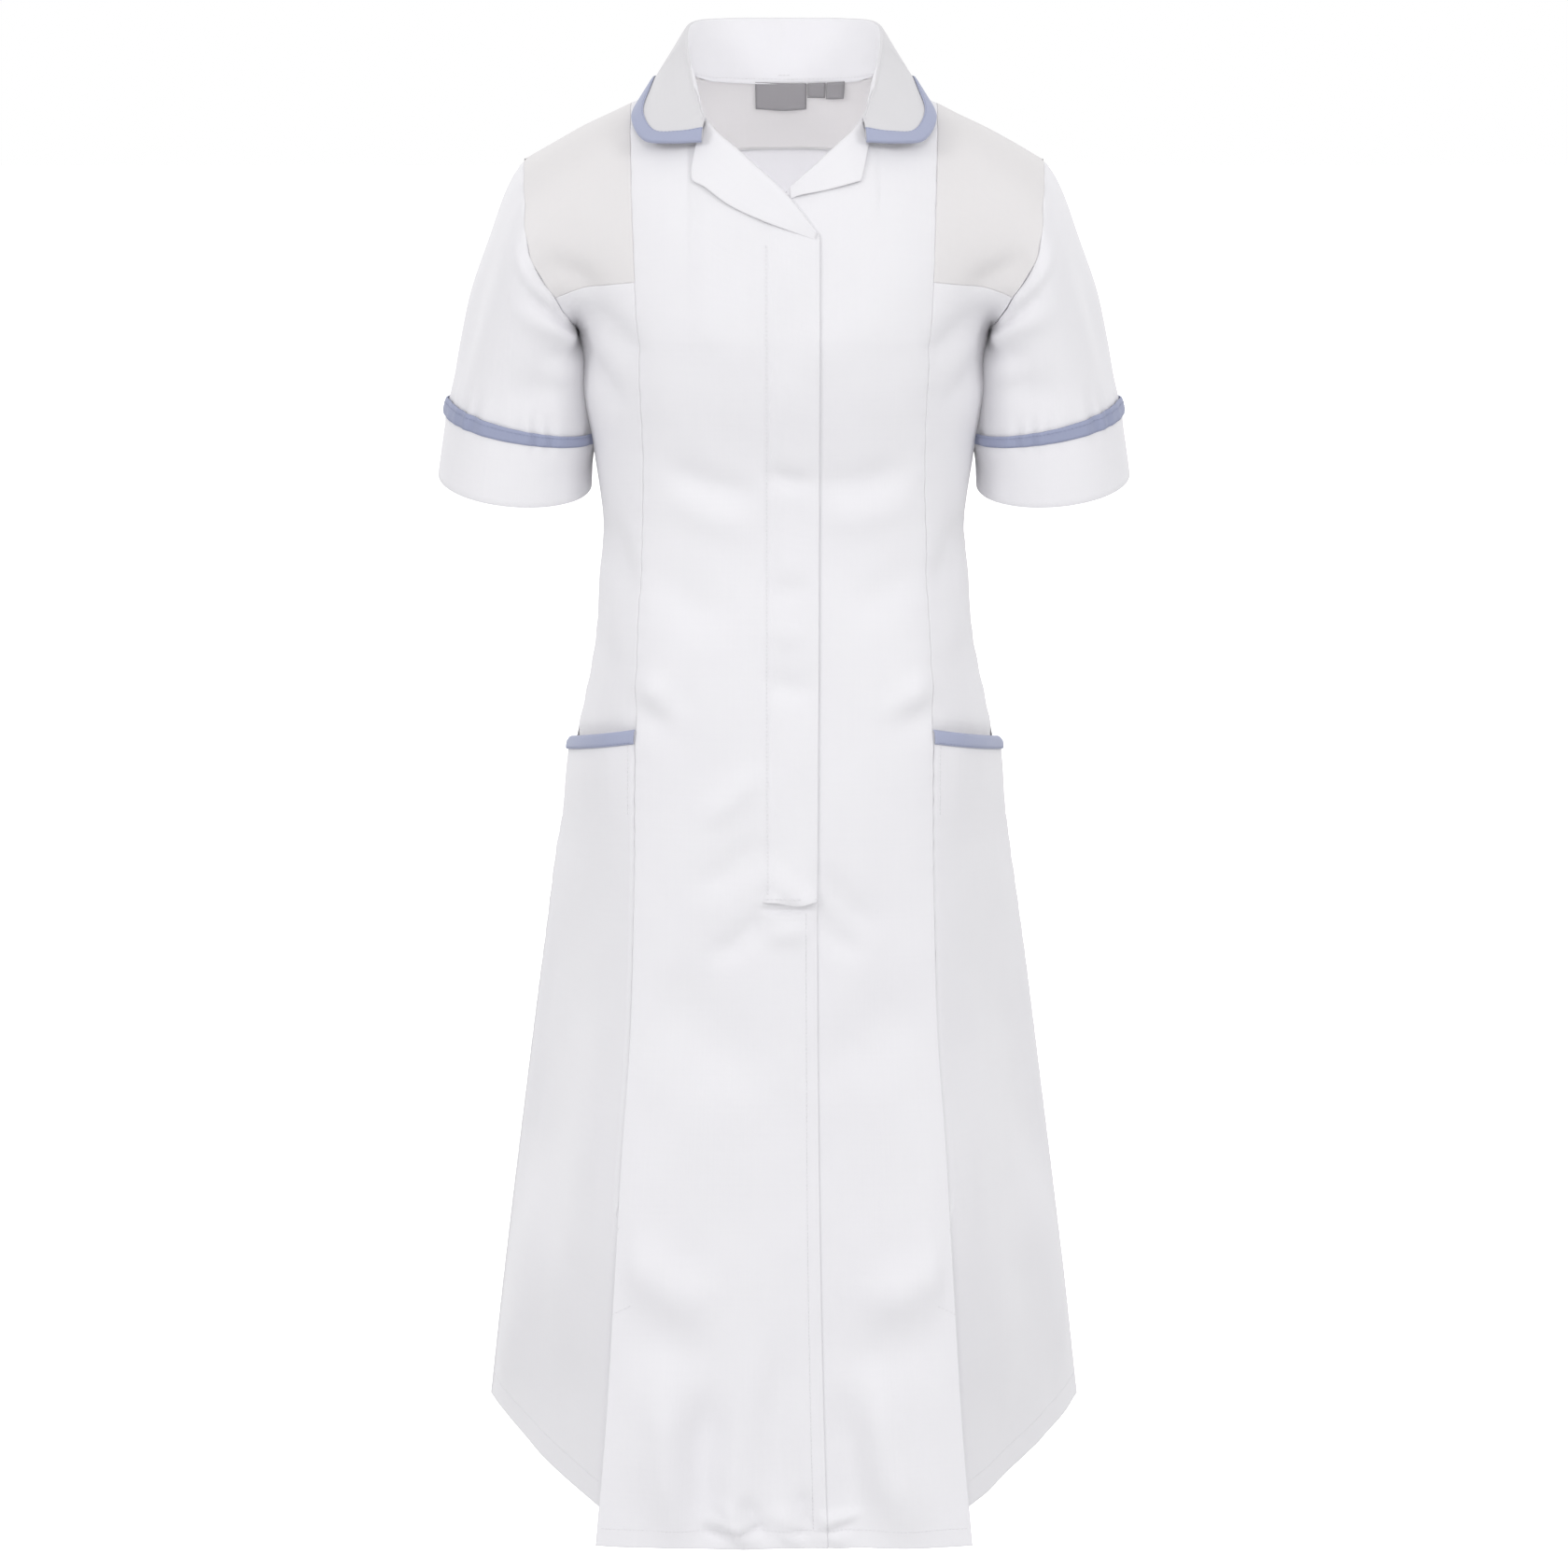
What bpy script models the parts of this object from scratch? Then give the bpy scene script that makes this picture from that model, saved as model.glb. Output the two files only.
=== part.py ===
"""Short-sleeved nurse uniform dress, filled out as worn and open at neck, cuffs and hem.

Metres, +Z up, front towards -Y. The origin lies between the shoulders, level with the neck's sides.
A place on the body is (s, q). s runs round it: 0 centre front, 1 front seam, 2 side seam, 3 back seam,
4 centre back, and past 4 back again along the other side; a negative s is the mirrored side.
q is the height: metres below the underarm where it is negative, 0 to 1 from there to the shoulder.
"""

import math

import bmesh
import bpy
from mathutils import Vector

# Cloth and seams
WALL = 0.0015
TRIM_WALL = 0.0010
PULL_BACK = 0.00040
CORNER_PULL = 0.00060
LAY_GAP = 0.0006
CORNER_PULL_SPAN = 0.10

# Heights, from the shoulders
UNDERARM_Z = -0.168
WAIST_Z = -0.310
HEM_Z = -1.058
POCKET_SEAM_Z = -0.4450
POCKET_SIDE_Z = -0.4700
POCKET_OVERLAP = 0.030
PLEAT_TOP_Z = -0.800
PLACKET_TOP_Z = -0.101
PLACKET_CHEST_Z = -0.134
PLACKET_END_Z = -0.567

# Shoulders and neck
NECK_X = 0.066
NECK_Z = 0.010
NECK_CROWN = 0.020
SHOULDER_X = 0.185
SHOULDER_SLOPE = 0.43
SHOULDER_DROP = 0.0068
RIDGE_Y = -0.002
SEAM_TOP_X = 0.108
NECK_S = NECK_X / SEAM_TOP_X
BACK_NECK_Z = 0.002
BACK_NECK_CURVE = 2.4

# Front opening, pleats and pockets
LAP_X = 0.0236
UNDER_DEPTH = 0.0025
UNDER_START_S = 0.25
UNDER_SPAN_S = 0.30
PLACKET_WIDTH = 0.0366
PLEAT_DEPTH = 0.064
PLEAT_EASE = 0.72
POCKET_STAND = 0.0060
POCKET_FADE = 0.090
POCKET_RISE_S = 0.22
POCKET_FALL_S = 0.10
POCKET_BINDING = 0.0085
POCKET_BINDING_OVER = 0.0012
CORNER = 0.75
CORNER_START_Z = -0.33
CORNER_SPAN = 0.45
YOKE_T_CENTRE = 0.47
YOKE_T_ARMHOLE = 0.87
BUST_T_SEAM = 0.150
BUST_T_ARMHOLE = 0.345

# Sleeves, collar and lapels
SLEEVE_SEAM = 0.0010
CUFF_BINDING = 0.0072
CUFF_BINDING_OVER = 0.0015
COLLAR_BINDING = 0.0092
COLLAR_NECK_SHARE = 0.42
COLLAR_FRONT_S = 0.50
COLLAR_FOOT_LIFT = 0.0004
ROLL_HALF = 0.0024
COLLAR_PUFF = 0.0020
LAPEL_LIFT = 0.0021
LAPEL_TOP_X = 0.0525
LAPEL_OVER_FOOT_X = -0.0215
LAPEL_UNDER_FOOT_X = 0.0030

# The body's outline at each height, as half a ring
RING_COLUMNS = ("z", "front_y", "seam_x", "seam_y", "side_x", "side_y", "back_x", "back_y", "rear_y")
RINGS = (
    (-1.058, -0.127, 0.1405, -0.122, 0.2440, 0.162, 0.150, 0.207, 0.216),
    (-0.960, -0.124, 0.1318, -0.118, 0.2310, 0.136, 0.140, 0.188, 0.197),
    (-0.860, -0.121, 0.1252, -0.113, 0.2170, 0.110, 0.130, 0.167, 0.176),
    (-0.760, -0.118, 0.1188, -0.109, 0.2025, 0.085, 0.121, 0.149, 0.159),
    (-0.660, -0.115, 0.1112, -0.104, 0.1880, 0.062, 0.114, 0.132, 0.142),
    (-0.560, -0.113, 0.1078, -0.100, 0.1725, 0.040, 0.108, 0.119, 0.129),
    (-0.480, -0.111, 0.1064, -0.097, 0.1575, 0.022, 0.103, 0.109, 0.119),
    (-0.440, -0.109, 0.1058, -0.094, 0.1490, 0.014, 0.100, 0.103, 0.112),
    (-0.385, -0.104, 0.1046, -0.087, 0.1385, 0.008, 0.095, 0.093, 0.102),
    (-0.310, -0.096, 0.1006, -0.076, 0.1320, 0.004, 0.089, 0.081, 0.090),
    (-0.255, -0.099, 0.0992, -0.078, 0.1345, 0.003, 0.090, 0.081, 0.091),
    (-0.205, -0.109, 0.1004, -0.088, 0.1420, 0.003, 0.094, 0.086, 0.097),
    (-0.168, -0.112, 0.1020, -0.092, 0.1480, 0.003, 0.096, 0.088, 0.100),
)

# The armhole, from the underarm to the shoulder's end
ARMHOLE_COLUMNS = ("share", "x", "front_y", "back_y", "z")
ARMHOLE = (
    (0.00, 0.1480, 0.003, 0.003, -0.168),
    (0.20, 0.1515, -0.046, 0.048, -0.158),
    (0.35, 0.1605, -0.067, 0.068, -0.141),
    (0.50, 0.1735, -0.074, 0.076, -0.120),
    (0.65, 0.1790, -0.072, 0.075, -0.100),
    (0.80, 0.1810, -0.058, 0.062, -0.077),
    (0.92, 0.1835, -0.030, 0.032, -0.057),
    (1.00, 0.1850, -0.002, -0.002, -0.048),
)

# The line on which the front turns back, from the opening's foot to the neck's side
ROLL_COLUMNS = ("x", "z")
ROLL = (
    (-0.0236, -0.0965),
    (-0.0020, -0.0705),
    (0.0265, -0.0450),
    (0.0530, -0.0190),
    (0.0660, 0.0100),
)

# How far the lapping front edge lies past the centre
LAP_COLUMNS = ("z", "x")
LAP = (
    (-1.058, 0.0325),
    (-0.900, 0.0280),
    (-0.760, 0.0255),
    (-0.567, LAP_X),
    (-0.096, LAP_X),
)

# The sleeve's two rings: its end under the cuff's binding, and the cuff's lower edge
SLEEVE_COLUMNS = ("centre_x", "centre_y", "centre_z", "half_x", "half_y", "rise_x", "rise_y")
SLEEVE_END = (0.1915, 0.004, -0.2345, 0.0515, 0.060, 0.185, 0.09)
CUFF_EDGE = (0.1965, 0.006, -0.2765, 0.0545, 0.062, 0.100, 0.20)

# The collar, from its front end to the centre back: the line it rolls over, and its outer edge
COLLAR_COLUMNS = ("share", "roll_x", "roll_y", "roll_z", "edge_x", "edge_y", "edge_z")
COLLAR = (
    (0.00, 0.0550, -0.0765, -0.0185, 0.0565, -0.0850, -0.0330),
    (0.08, 0.0580, -0.0680, -0.0120, 0.0760, -0.0820, -0.0370),
    (0.16, 0.0605, -0.0550, -0.0050, 0.0935, -0.0720, -0.0345),
    (0.26, 0.0640, -0.0350, 0.0060, 0.1055, -0.0450, -0.0170),
    (0.42, 0.0695, 0.0020, 0.0340, 0.1055, 0.0020, 0.0005),
    (0.60, 0.0660, 0.0270, 0.0480, 0.0930, 0.0420, 0.0010),
    (0.80, 0.0420, 0.0490, 0.0515, 0.0560, 0.0660, -0.0060),
    (1.00, 0.0000, 0.0580, 0.0520, 0.0000, 0.0710, -0.0070),
)

# Outer edges of the turned-back lapels, from the collar down to the opening's foot
LAPEL_COLUMNS = ("share", "x", "z")
LAPEL_OVER = (
    (0.00, 0.0575, -0.0330),
    (0.25, 0.0615, -0.0590),
    (0.35, 0.0525, -0.0650),
    (0.50, 0.0360, -0.0770),
    (0.70, 0.0120, -0.0880),
    (1.00, -0.0200, -0.0985),
)
LAPEL_UNDER = (
    (0.00, 0.0565, -0.0330),
    (0.25, 0.0515, -0.0590),
    (0.35, 0.0480, -0.0615),
    (0.55, 0.0300, -0.0660),
    (0.80, 0.0110, -0.0700),
    (1.00, 0.0040, -0.0720),
)

# Rows of the panels' meshes
BODY_ROWS = (
    -1.058, -1.000, -0.930, -0.860, -0.800, -0.730, -0.660, -0.567, -0.510, -0.4575,
    -0.410, -0.360, -0.310, -0.265, -0.225, -0.190, -0.168,
)
POCKET_ROW = BODY_ROWS.index(-0.4575)
CHEST_ROWS = (0.075, 0.150, 0.29, 0.43, 0.57, 0.71, 0.84, 0.93, 1.0)

WHITE = (0.86, 0.86, 0.88)
BLUE = (0.42, 0.48, 0.66)
GREY = (0.45, 0.46, 0.48)

for old in list(bpy.data.objects):
    bpy.data.objects.remove(old, do_unlink=True)

dress = bpy.data.collections.new("nurse_dress")
bpy.context.scene.collection.children.link(dress)


def read(rows, columns, key, at, name):
    """Smooth value of the named column where the key column has the value at."""
    k = columns.index(key)
    c = columns.index(name)
    at = min(max(at, rows[0][k]), rows[-1][k])
    i = max(j for j in range(len(rows) - 1) if rows[j][k] <= at)

    def slope(j):
        low = max(j - 1, 0)
        high = min(j + 1, len(rows) - 1)
        return (rows[high][c] - rows[low][c]) / (rows[high][k] - rows[low][k])

    span = rows[i + 1][k] - rows[i][k]
    u = (at - rows[i][k]) / span
    start = rows[i][c] * (1 + 2 * u) * (1 - u) ** 2 + rows[i + 1][c] * u * u * (3 - 2 * u)
    return start + span * u * (1 - u) * ((1 - u) * slope(i) - u * slope(i + 1))


def mix(a, b, u):
    return a + (b - a) * u


def ease(u):
    u = min(max(u, 0.0), 1.0)
    return u * u * (3 - 2 * u)


def hermite(a, b, along_a, along_b, u):
    """Point of the cubic from a to b that leaves and arrives in the given directions."""
    return (
        a * ((1 + 2 * u) * (1 - u) ** 2)
        + b * (u * u * (3 - 2 * u))
        + along_a * (u * (1 - u) ** 2)
        - along_b * (u * u * (1 - u))
    )


def pleat_step(z):
    """How far the side panel lies behind the front panel's folded edge."""
    down = (PLEAT_TOP_Z - z) / (PLEAT_TOP_Z - HEM_Z)
    return PLEAT_DEPTH * ease(down * PLEAT_EASE) / ease(PLEAT_EASE)


def ring(s, z):
    """Point of the body's outline at height z, for s from 0 to 4."""
    row = {name: read(RINGS, RING_COLUMNS, "z", z, name) for name in RING_COLUMNS}
    part = min(max(math.ceil(s) - 1, 0), 3)
    knots = [
        Vector((0, row["front_y"])),
        Vector((row["seam_x"], row["seam_y"])),
        Vector((row["side_x"], row["side_y"])),
        Vector((row["back_x"], row["back_y"])),
        Vector((0, row["rear_y"])),
    ]
    if part == 1:
        knots[1].y += pleat_step(z)
    chords = [(knots[i + 1] - knots[i]).normalized() for i in range(4)]
    own = CORNER * ease((CORNER_START_Z - z) / CORNER_SPAN)
    turns = [
        (Vector((1, 0)), Vector((1, 0))),
        tuple(mix((chords[0] + chords[1]).normalized(), chords[i], own).normalized() for i in (0, 1)),
        (mix(Vector((0, 1)), chords[1], own).normalized(), Vector((0, 1))),
        (((chords[2] + chords[3])).normalized(),) * 2,
        (Vector((-1, 0)), Vector((-1, 0))),
    ]
    length = (knots[part + 1] - knots[part]).length
    start = turns[part][1] * length
    end = turns[part + 1][0] * length
    flat = hermite(knots[part], knots[part + 1], start, end, s - part)
    return Vector((flat.x, flat.y, z))


def ridge(x):
    """Top of the shoulder at x, or of the plain arch over the neck."""
    if x < NECK_X:
        return Vector((x, RIDGE_Y, NECK_Z + NECK_CROWN * (1 - (x / NECK_X) ** 2)))
    out = (x - NECK_X) / (SHOULDER_X - NECK_X)
    return Vector((x, RIDGE_Y, NECK_Z - SHOULDER_SLOPE * (x - NECK_X) - SHOULDER_DROP * out**4))


def column(s, t):
    """Point of a line up the chest or back, for s up to 1 or from 3."""
    low = ring(s, UNDERARM_Z)
    high = ridge(SEAM_TOP_X * min(s, 4 - s))
    angle = t * math.pi / 2
    rise = math.sin(angle)
    lean = 1 - math.cos(angle)
    return Vector((mix(low.x, high.x, rise), mix(low.y, high.y, lean), mix(low.z, high.z, rise)))


def armhole(t, side):
    """Point of the armhole's seam; side is front_y or back_y."""
    return Vector([read(ARMHOLE, ARMHOLE_COLUMNS, "share", t, name) for name in ("x", side, "z")])


def chest(s, t):
    """Point above the underarm, for s from 0 to 4."""
    if s <= 1 or s >= 3:
        return column(s, t)
    seam, side = (1.0, "front_y") if s <= 2 else (3.0, "back_y")
    out = abs(s - seam)
    near = column(seam, t)
    far = armhole(t, side)
    foot = ring(s, UNDERARM_Z) - mix(ring(seam, UNDERARM_Z), armhole(0, side), out)
    top = ridge(mix(SEAM_TOP_X, SHOULDER_X, out)) - mix(ridge(SEAM_TOP_X), armhole(1, side), out)
    return mix(near, far, out) + mix(foot, top, t)


def half_form(s, q):
    return chest(s, q) if q > 0 else ring(s, UNDERARM_Z + q)


def form(s, q, out=0.0):
    """Point of the body's surface at (s, q), moved outwards by out."""
    s = s - 8 if s > 4 else s
    flip = Vector((math.copysign(1, s), 1, 1))
    s = abs(s)
    point = half_form(s, q)
    if out:
        step = 0.004
        low, high = (0, 1) if s <= 1 else (1.0001, 4)
        round_it = half_form(min(s + step, high), q) - half_form(max(s - step, low), q)
        up = half_form(s, min(q + step, 1)) - half_form(s, q - step)
        point = point + round_it.cross(up).normalized() * out
    return Vector(a * b for a, b in zip(point, flip))


def height(z):
    return z - UNDERARM_Z


def column_share(s, z):
    """The q at which the line at s reaches height z above the underarm."""
    low = ring(s, UNDERARM_Z).z
    high = ridge(SEAM_TOP_X * min(s, 4 - s)).z
    return math.asin(min((z - low) / (high - low), 1)) * 2 / math.pi


def roll_end(s):
    """The q at which the front turns back, for s from the lap's edge to the front seam."""
    if s >= NECK_S:
        return 1.0
    t = 0.5
    for _ in range(6):
        x = math.copysign(column(abs(s), t).x, s)
        t = column_share(abs(s), read(ROLL, ROLL_COLUMNS, "x", x, "z"))
    return t


def neck_end(s):
    """The q of the back's neckline, for s from 3 to 5."""
    off = abs(s - 4)
    if off >= NECK_S:
        return 1.0
    share = off / NECK_S
    return column_share(4 - off, mix(BACK_NECK_Z, NECK_Z, share**BACK_NECK_CURVE))


def lap_edge(z):
    """The s of the lapping edge at height z."""
    return read(LAP, LAP_COLUMNS, "z", z, "x") / read(RINGS, RING_COLUMNS, "z", z, "seam_x")


def mirrored(grid):
    """The same piece for the other side, turned so that it still faces out."""
    return [[Vector((-p.x, p.y, p.z)) for p in reversed(row)] for row in grid]


def pulled(grid, sides, corners=()):
    """The grid with its edges drawn back from their seams, further where the skirt turns a corner."""
    grid = [list(row) for row in grid]

    def draw(edge, inner, more=0.0):
        return edge + (inner - edge).normalized() * (PULL_BACK + more)

    for row in grid:
        corner = CORNER_PULL * ease((WAIST_Z - row[0].z) / CORNER_PULL_SPAN)
        if "left" in sides:
            row[0] = draw(row[0], row[1], corner if "left" in corners else 0)
        if "right" in sides:
            row[-1] = draw(row[-1], row[-2], corner if "right" in corners else 0)
    if "low" in sides:
        grid[0] = [draw(a, b) for a, b in zip(grid[0], grid[1])]
    if "high" in sides:
        grid[-1] = [draw(a, b) for a, b in zip(grid[-1], grid[-2])]
    return grid


def cloth_material(name, colour, rough):
    material = bpy.data.materials.new(name)
    material.use_nodes = True
    shader = material.node_tree.nodes["Principled BSDF"]
    shader.inputs["Base Color"].default_value = (*colour, 1)
    shader.inputs["Roughness"].default_value = rough
    shader.inputs["Metallic"].default_value = 0
    material.diffuse_color = (*colour, 1)
    return material


def piece(name, grid, colour=WHITE, wall=WALL, closed=False, rough=0.85):
    """A cut piece: an open sheet through the grid's rows, given its wall inwards."""
    mesh = bpy.data.meshes.new(name)
    sheet = bmesh.new()
    rows = [[sheet.verts.new(p) for p in row] for row in grid]
    across = len(grid[0])
    for low, high in zip(rows, rows[1:]):
        for j in range(across if closed else across - 1):
            k = (j + 1) % across
            sheet.faces.new((low[j], low[k], high[k], high[j]))
    sheet.to_mesh(mesh)
    sheet.free()
    mesh.shade_smooth()
    mesh.materials.append(cloth_material(name, colour, rough))
    made = bpy.data.objects.new(name, mesh)
    dress.objects.link(made)
    wall_modifier = made.modifiers.new("wall", "SOLIDIFY")
    wall_modifier.thickness = wall
    wall_modifier.offset = -1
    return made


def spread(count, start, end):
    return [mix(start, end, i / count) for i in range(count + 1)]


# Centre fronts, neck to hem, the wearer's right lapping over the left
def under_depth(s):
    """How far the left front lies below the right one where they lap."""
    return UNDER_DEPTH * (1 - ease((s - UNDER_START_S) / UNDER_SPAN_S))


def front_grid(under):
    """Half a front from the lap's edge to the front seam; the under one gives way where they lap."""
    columns = spread(8, 0, 1)
    grid = []
    for q in [height(z) for z in BODY_ROWS] + list(CHEST_ROWS):
        row = []
        for f in columns:
            z = UNDERARM_Z + min(q, 0)
            s = mix(-lap_edge(z), 1, f)
            top = roll_end(s)
            row.append(form(s, q if q <= 0 else q * top, -under_depth(s) if under else 0.0))
        grid.append(row)
    return pulled(grid, ("right", "high"), ("right",))


piece("front_left", front_grid(True))
piece("front_right", mirrored(front_grid(False)))


# Strip that hides the zip, stitched on beside the lapping edge
def placket_grid():
    grid = []
    out = LAY_GAP + WALL
    for z in [z for z in BODY_ROWS if PLACKET_END_Z <= z] + [PLACKET_CHEST_Z, PLACKET_TOP_Z]:
        wide = read(RINGS, RING_COLUMNS, "z", z, "seam_x")
        edge = LAP_X / wide
        row = []
        for f in spread(3, 0, 1):
            s = edge - (1 - f) * PLACKET_WIDTH / wide
            q = height(z) if z <= UNDERARM_Z else column_share(abs(s), z)
            row.append(form(s, q, out))
        grid.append(row)
    return grid


piece("placket", placket_grid())


# Chest pieces between front seam and armhole, down to the bust seam
def bust_share(s):
    return mix(BUST_T_SEAM, BUST_T_ARMHOLE, s - 1)


def chest_share(s, t):
    """The common chest rows, bent so that one of them is the bust seam."""
    low = bust_share(s)
    if t <= BUST_T_SEAM:
        return t / BUST_T_SEAM * low
    return low + (t - BUST_T_SEAM) / (1 - BUST_T_SEAM) * (1 - low)


SIDE_COLUMNS = spread(5, 1.0001, 2)
upper = [[form(s, chest_share(s, t)) for s in SIDE_COLUMNS] for t in CHEST_ROWS if t >= BUST_T_SEAM]
upper = pulled(upper, ("left", "right", "low", "high"))
piece("upper_side_front_left", upper)
piece("upper_side_front_right", mirrored(upper))


# Side fronts from the bust seam to inside the pocket's mouth
def pocket_z(s):
    """Height of the pocket's mouth, which slants down to the side seam."""
    return mix(POCKET_SEAM_Z, POCKET_SIDE_Z, s - 1)


def pocket_stand(s, z):
    """How far the skirt stands away from the piece behind it, most at the pocket's mouth."""
    wide = ease((s - 1) / POCKET_RISE_S) * ease((2 - s) / POCKET_FALL_S)
    return POCKET_STAND * wide * ease((z - pocket_z(s)) / POCKET_FADE + 1)


INNER_START_S = 1.03
INNER_END_S = 1.97
inner_columns = spread(5, INNER_START_S, INNER_END_S)
side = []
for drop in (POCKET_OVERLAP, 0.0):
    side.append([form(s, height(pocket_z(s) - drop), -(WALL + LAY_GAP)) for s in inner_columns])
for z in BODY_ROWS[POCKET_ROW + 1:]:
    side.append([form(s, height(z)) for s in SIDE_COLUMNS])
side += [[form(s, chest_share(s, t)) for s in SIDE_COLUMNS] for t in CHEST_ROWS if t <= BUST_T_SEAM]
side = pulled(side, ("left", "right", "high"), ("left", "right"))
piece("side_front_left", side)
piece("side_front_right", mirrored(side))


# Skirt sides, whose bound top edge is the pocket's mouth
skirt = []
for z in BODY_ROWS[:POCKET_ROW]:
    skirt.append([form(s, height(z), pocket_stand(s, z)) for s in SIDE_COLUMNS])
skirt.append([form(s, height(pocket_z(s)), pocket_stand(s, pocket_z(s))) for s in SIDE_COLUMNS])
skirt = pulled(skirt, ("left", "right"), ("left", "right"))
piece("skirt_side_left", skirt)
piece("skirt_side_right", mirrored(skirt))

mouth = []
for drop in (POCKET_BINDING, POCKET_BINDING / 2, 0.0, -POCKET_BINDING_OVER):
    row = []
    for s in SIDE_COLUMNS:
        stand = pocket_stand(s, pocket_z(s) - max(drop, 0))
        row.append(form(s, height(pocket_z(s) - drop), stand + LAY_GAP + TRIM_WALL))
    mouth.append(row)
mouth = pulled(mouth, ("left", "right"), ("left", "right"))
piece("pocket_binding_left", mouth, BLUE, TRIM_WALL, rough=0.75)
piece("pocket_binding_right", mirrored(mouth), BLUE, TRIM_WALL, rough=0.75)


# Inlays folded inside the kick pleats
PLEAT_TUCK = 0.026
PLEAT_IN = 0.0030
PLEAT_CLEAR = 0.0004
PLEAT_BEND = 0.60
PLEAT_BEND_BACK = 0.0020
PLEAT_OPEN = 0.08
PLEAT_MIDDLE = 0.45
PLEAT_REACH = 0.0003


def pleat_grid():
    """Rows from the front panel's fold, inwards, and out again to the side panel."""
    grid = []
    for z in [z for z in BODY_ROWS if z < PLEAT_TOP_Z]:
        fold = form(1, height(z), -(WALL + LAY_GAP))
        back = form(1.0001, height(z), -WALL * PLEAT_BEND)
        near = fold + Vector((-PLEAT_IN, PLEAT_CLEAR, 0))
        bend_y = fold.y + PLEAT_BEND_BACK + pleat_step(z) * PLEAT_OPEN
        bend = Vector((fold.x - PLEAT_TUCK * PLEAT_BEND, bend_y, z))
        inner = Vector((fold.x - PLEAT_TUCK, mix(fold.y, back.y, PLEAT_MIDDLE), z))
        far = mix(back, inner, -PLEAT_REACH / (back - inner).length)
        grid.append([far, inner, bend, near])
    return grid


pleat = pleat_grid()
piece("pleat_left", pleat)
piece("pleat_right", mirrored(pleat))


# Back: yoke, centre panel and side backs
def yoke_share(s):
    off = abs(s - 4)
    return YOKE_T_CENTRE if off < 1 else mix(YOKE_T_CENTRE, YOKE_T_ARMHOLE, ease(off - 1))


BACK_ROWS = (0.2, 0.4, 0.6, 0.8, 1.0)


def back_row(columns, q):
    return [form(s, q if q <= 0 else q * yoke_share(s)) for s in columns]


back_heights = [height(z) for z in BODY_ROWS] + list(BACK_ROWS)
centre = [back_row(spread(10, 3, 5), q) for q in back_heights]
piece("back_centre", pulled(centre, ("left", "right", "high")))
side_back = [back_row(spread(5, 2.0001, 3), q) for q in back_heights]
side_back = pulled(side_back, ("left", "right", "high"), ("left",))
piece("side_back_left", side_back)
piece("side_back_right", mirrored(side_back))

YOKE_COLUMNS = sorted(
    set(spread(5, 2.0001, 3) + spread(10, 3, 5)[1:] + spread(5, 5, 5.9999)[1:] + [4 - NECK_S, 4 + NECK_S])
)
YOKE_ROWS = spread(4, 0, 1)
yoke = []
for u in YOKE_ROWS:
    yoke.append([form(s, mix(yoke_share(s), neck_end(s), u)) for s in YOKE_COLUMNS])
piece("back_yoke", pulled(yoke, ("left", "right", "low", "high")))


# Sleeves, set into the armholes
def sleeve_marks():
    """Places round the armhole, from the underarm by the front to the shoulder and down the back."""
    front = [0.0] + [chest_share(2, t) for t in CHEST_ROWS]
    down_yoke = [mix(YOKE_T_ARMHOLE, 1, u) for u in YOKE_ROWS]
    back = [t * YOKE_T_ARMHOLE for t in BACK_ROWS] + down_yoke[1:]
    return [(t, "front_y") for t in front] + [(t, "back_y") for t in reversed(back[:-1])]


def arm_ring(size, turn):
    """Point of a ring round the arm: turn 0 at the body, a quarter at the front, a half outside."""
    row = dict(zip(SLEEVE_COLUMNS, size))
    x = -row["half_x"] * math.cos(turn * 2 * math.pi)
    y = -row["half_y"] * math.sin(turn * 2 * math.pi)
    centre = Vector((row["centre_x"], row["centre_y"], row["centre_z"]))
    return centre + Vector((x, y, row["rise_x"] * x + row["rise_y"] * y))


UNDER_LEAVE = Vector((-0.12, 0, -1))
TOP_LEAVE = Vector((0.75, 0, -0.66))
TOP_PULL = 0.54
UNDER_ARRIVE = Vector((-0.10, 0, -1))
TOP_ARRIVE = Vector((0.22, 0, -1))
SLEEVE_ROUND = 0.8


def sleeve_point(mark, turn, w):
    """w runs 0 to 1 from the armhole to the cuff's binding, and on to 2 at the cuff's edge."""
    end = arm_ring(SLEEVE_END, turn)
    edge = arm_ring(CUFF_EDGE, turn)
    if w >= 1:
        return mix(end, edge, w - 1)
    start = armhole(*mark)
    high = (start.z - UNDERARM_Z) / (ridge(SHOULDER_X).z - UNDERARM_Z)
    length = (end - start).length
    leave = mix(UNDER_LEAVE, TOP_LEAVE, high**SLEEVE_ROUND).normalized() * length
    outer = 0.5 - 0.5 * math.cos(turn * 2 * math.pi)
    arrive = mix(UNDER_ARRIVE, TOP_ARRIVE, outer).normalized() * length
    return hermite(start, end, leave * mix(1.0, TOP_PULL, high), arrive, w)


def turns_of(marks):
    """Share of the way round at each mark, by length along the armhole, with the shoulder at a half."""
    points = [armhole(*mark) for mark in marks]
    top = max(range(len(marks)), key=lambda i: marks[i][0])
    steps = [(points[(i + 1) % len(points)] - points[i]).length for i in range(len(points))]
    first = sum(steps[:top])
    second = sum(steps[top:])
    turns = []
    for i in range(len(points)):
        if i <= top:
            turns.append(0.5 * sum(steps[:i]) / first)
        else:
            turns.append(0.5 + 0.5 * sum(steps[top:i]) / second)
    return turns


MARKS = sleeve_marks()
TURNS = turns_of(MARKS)


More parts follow.
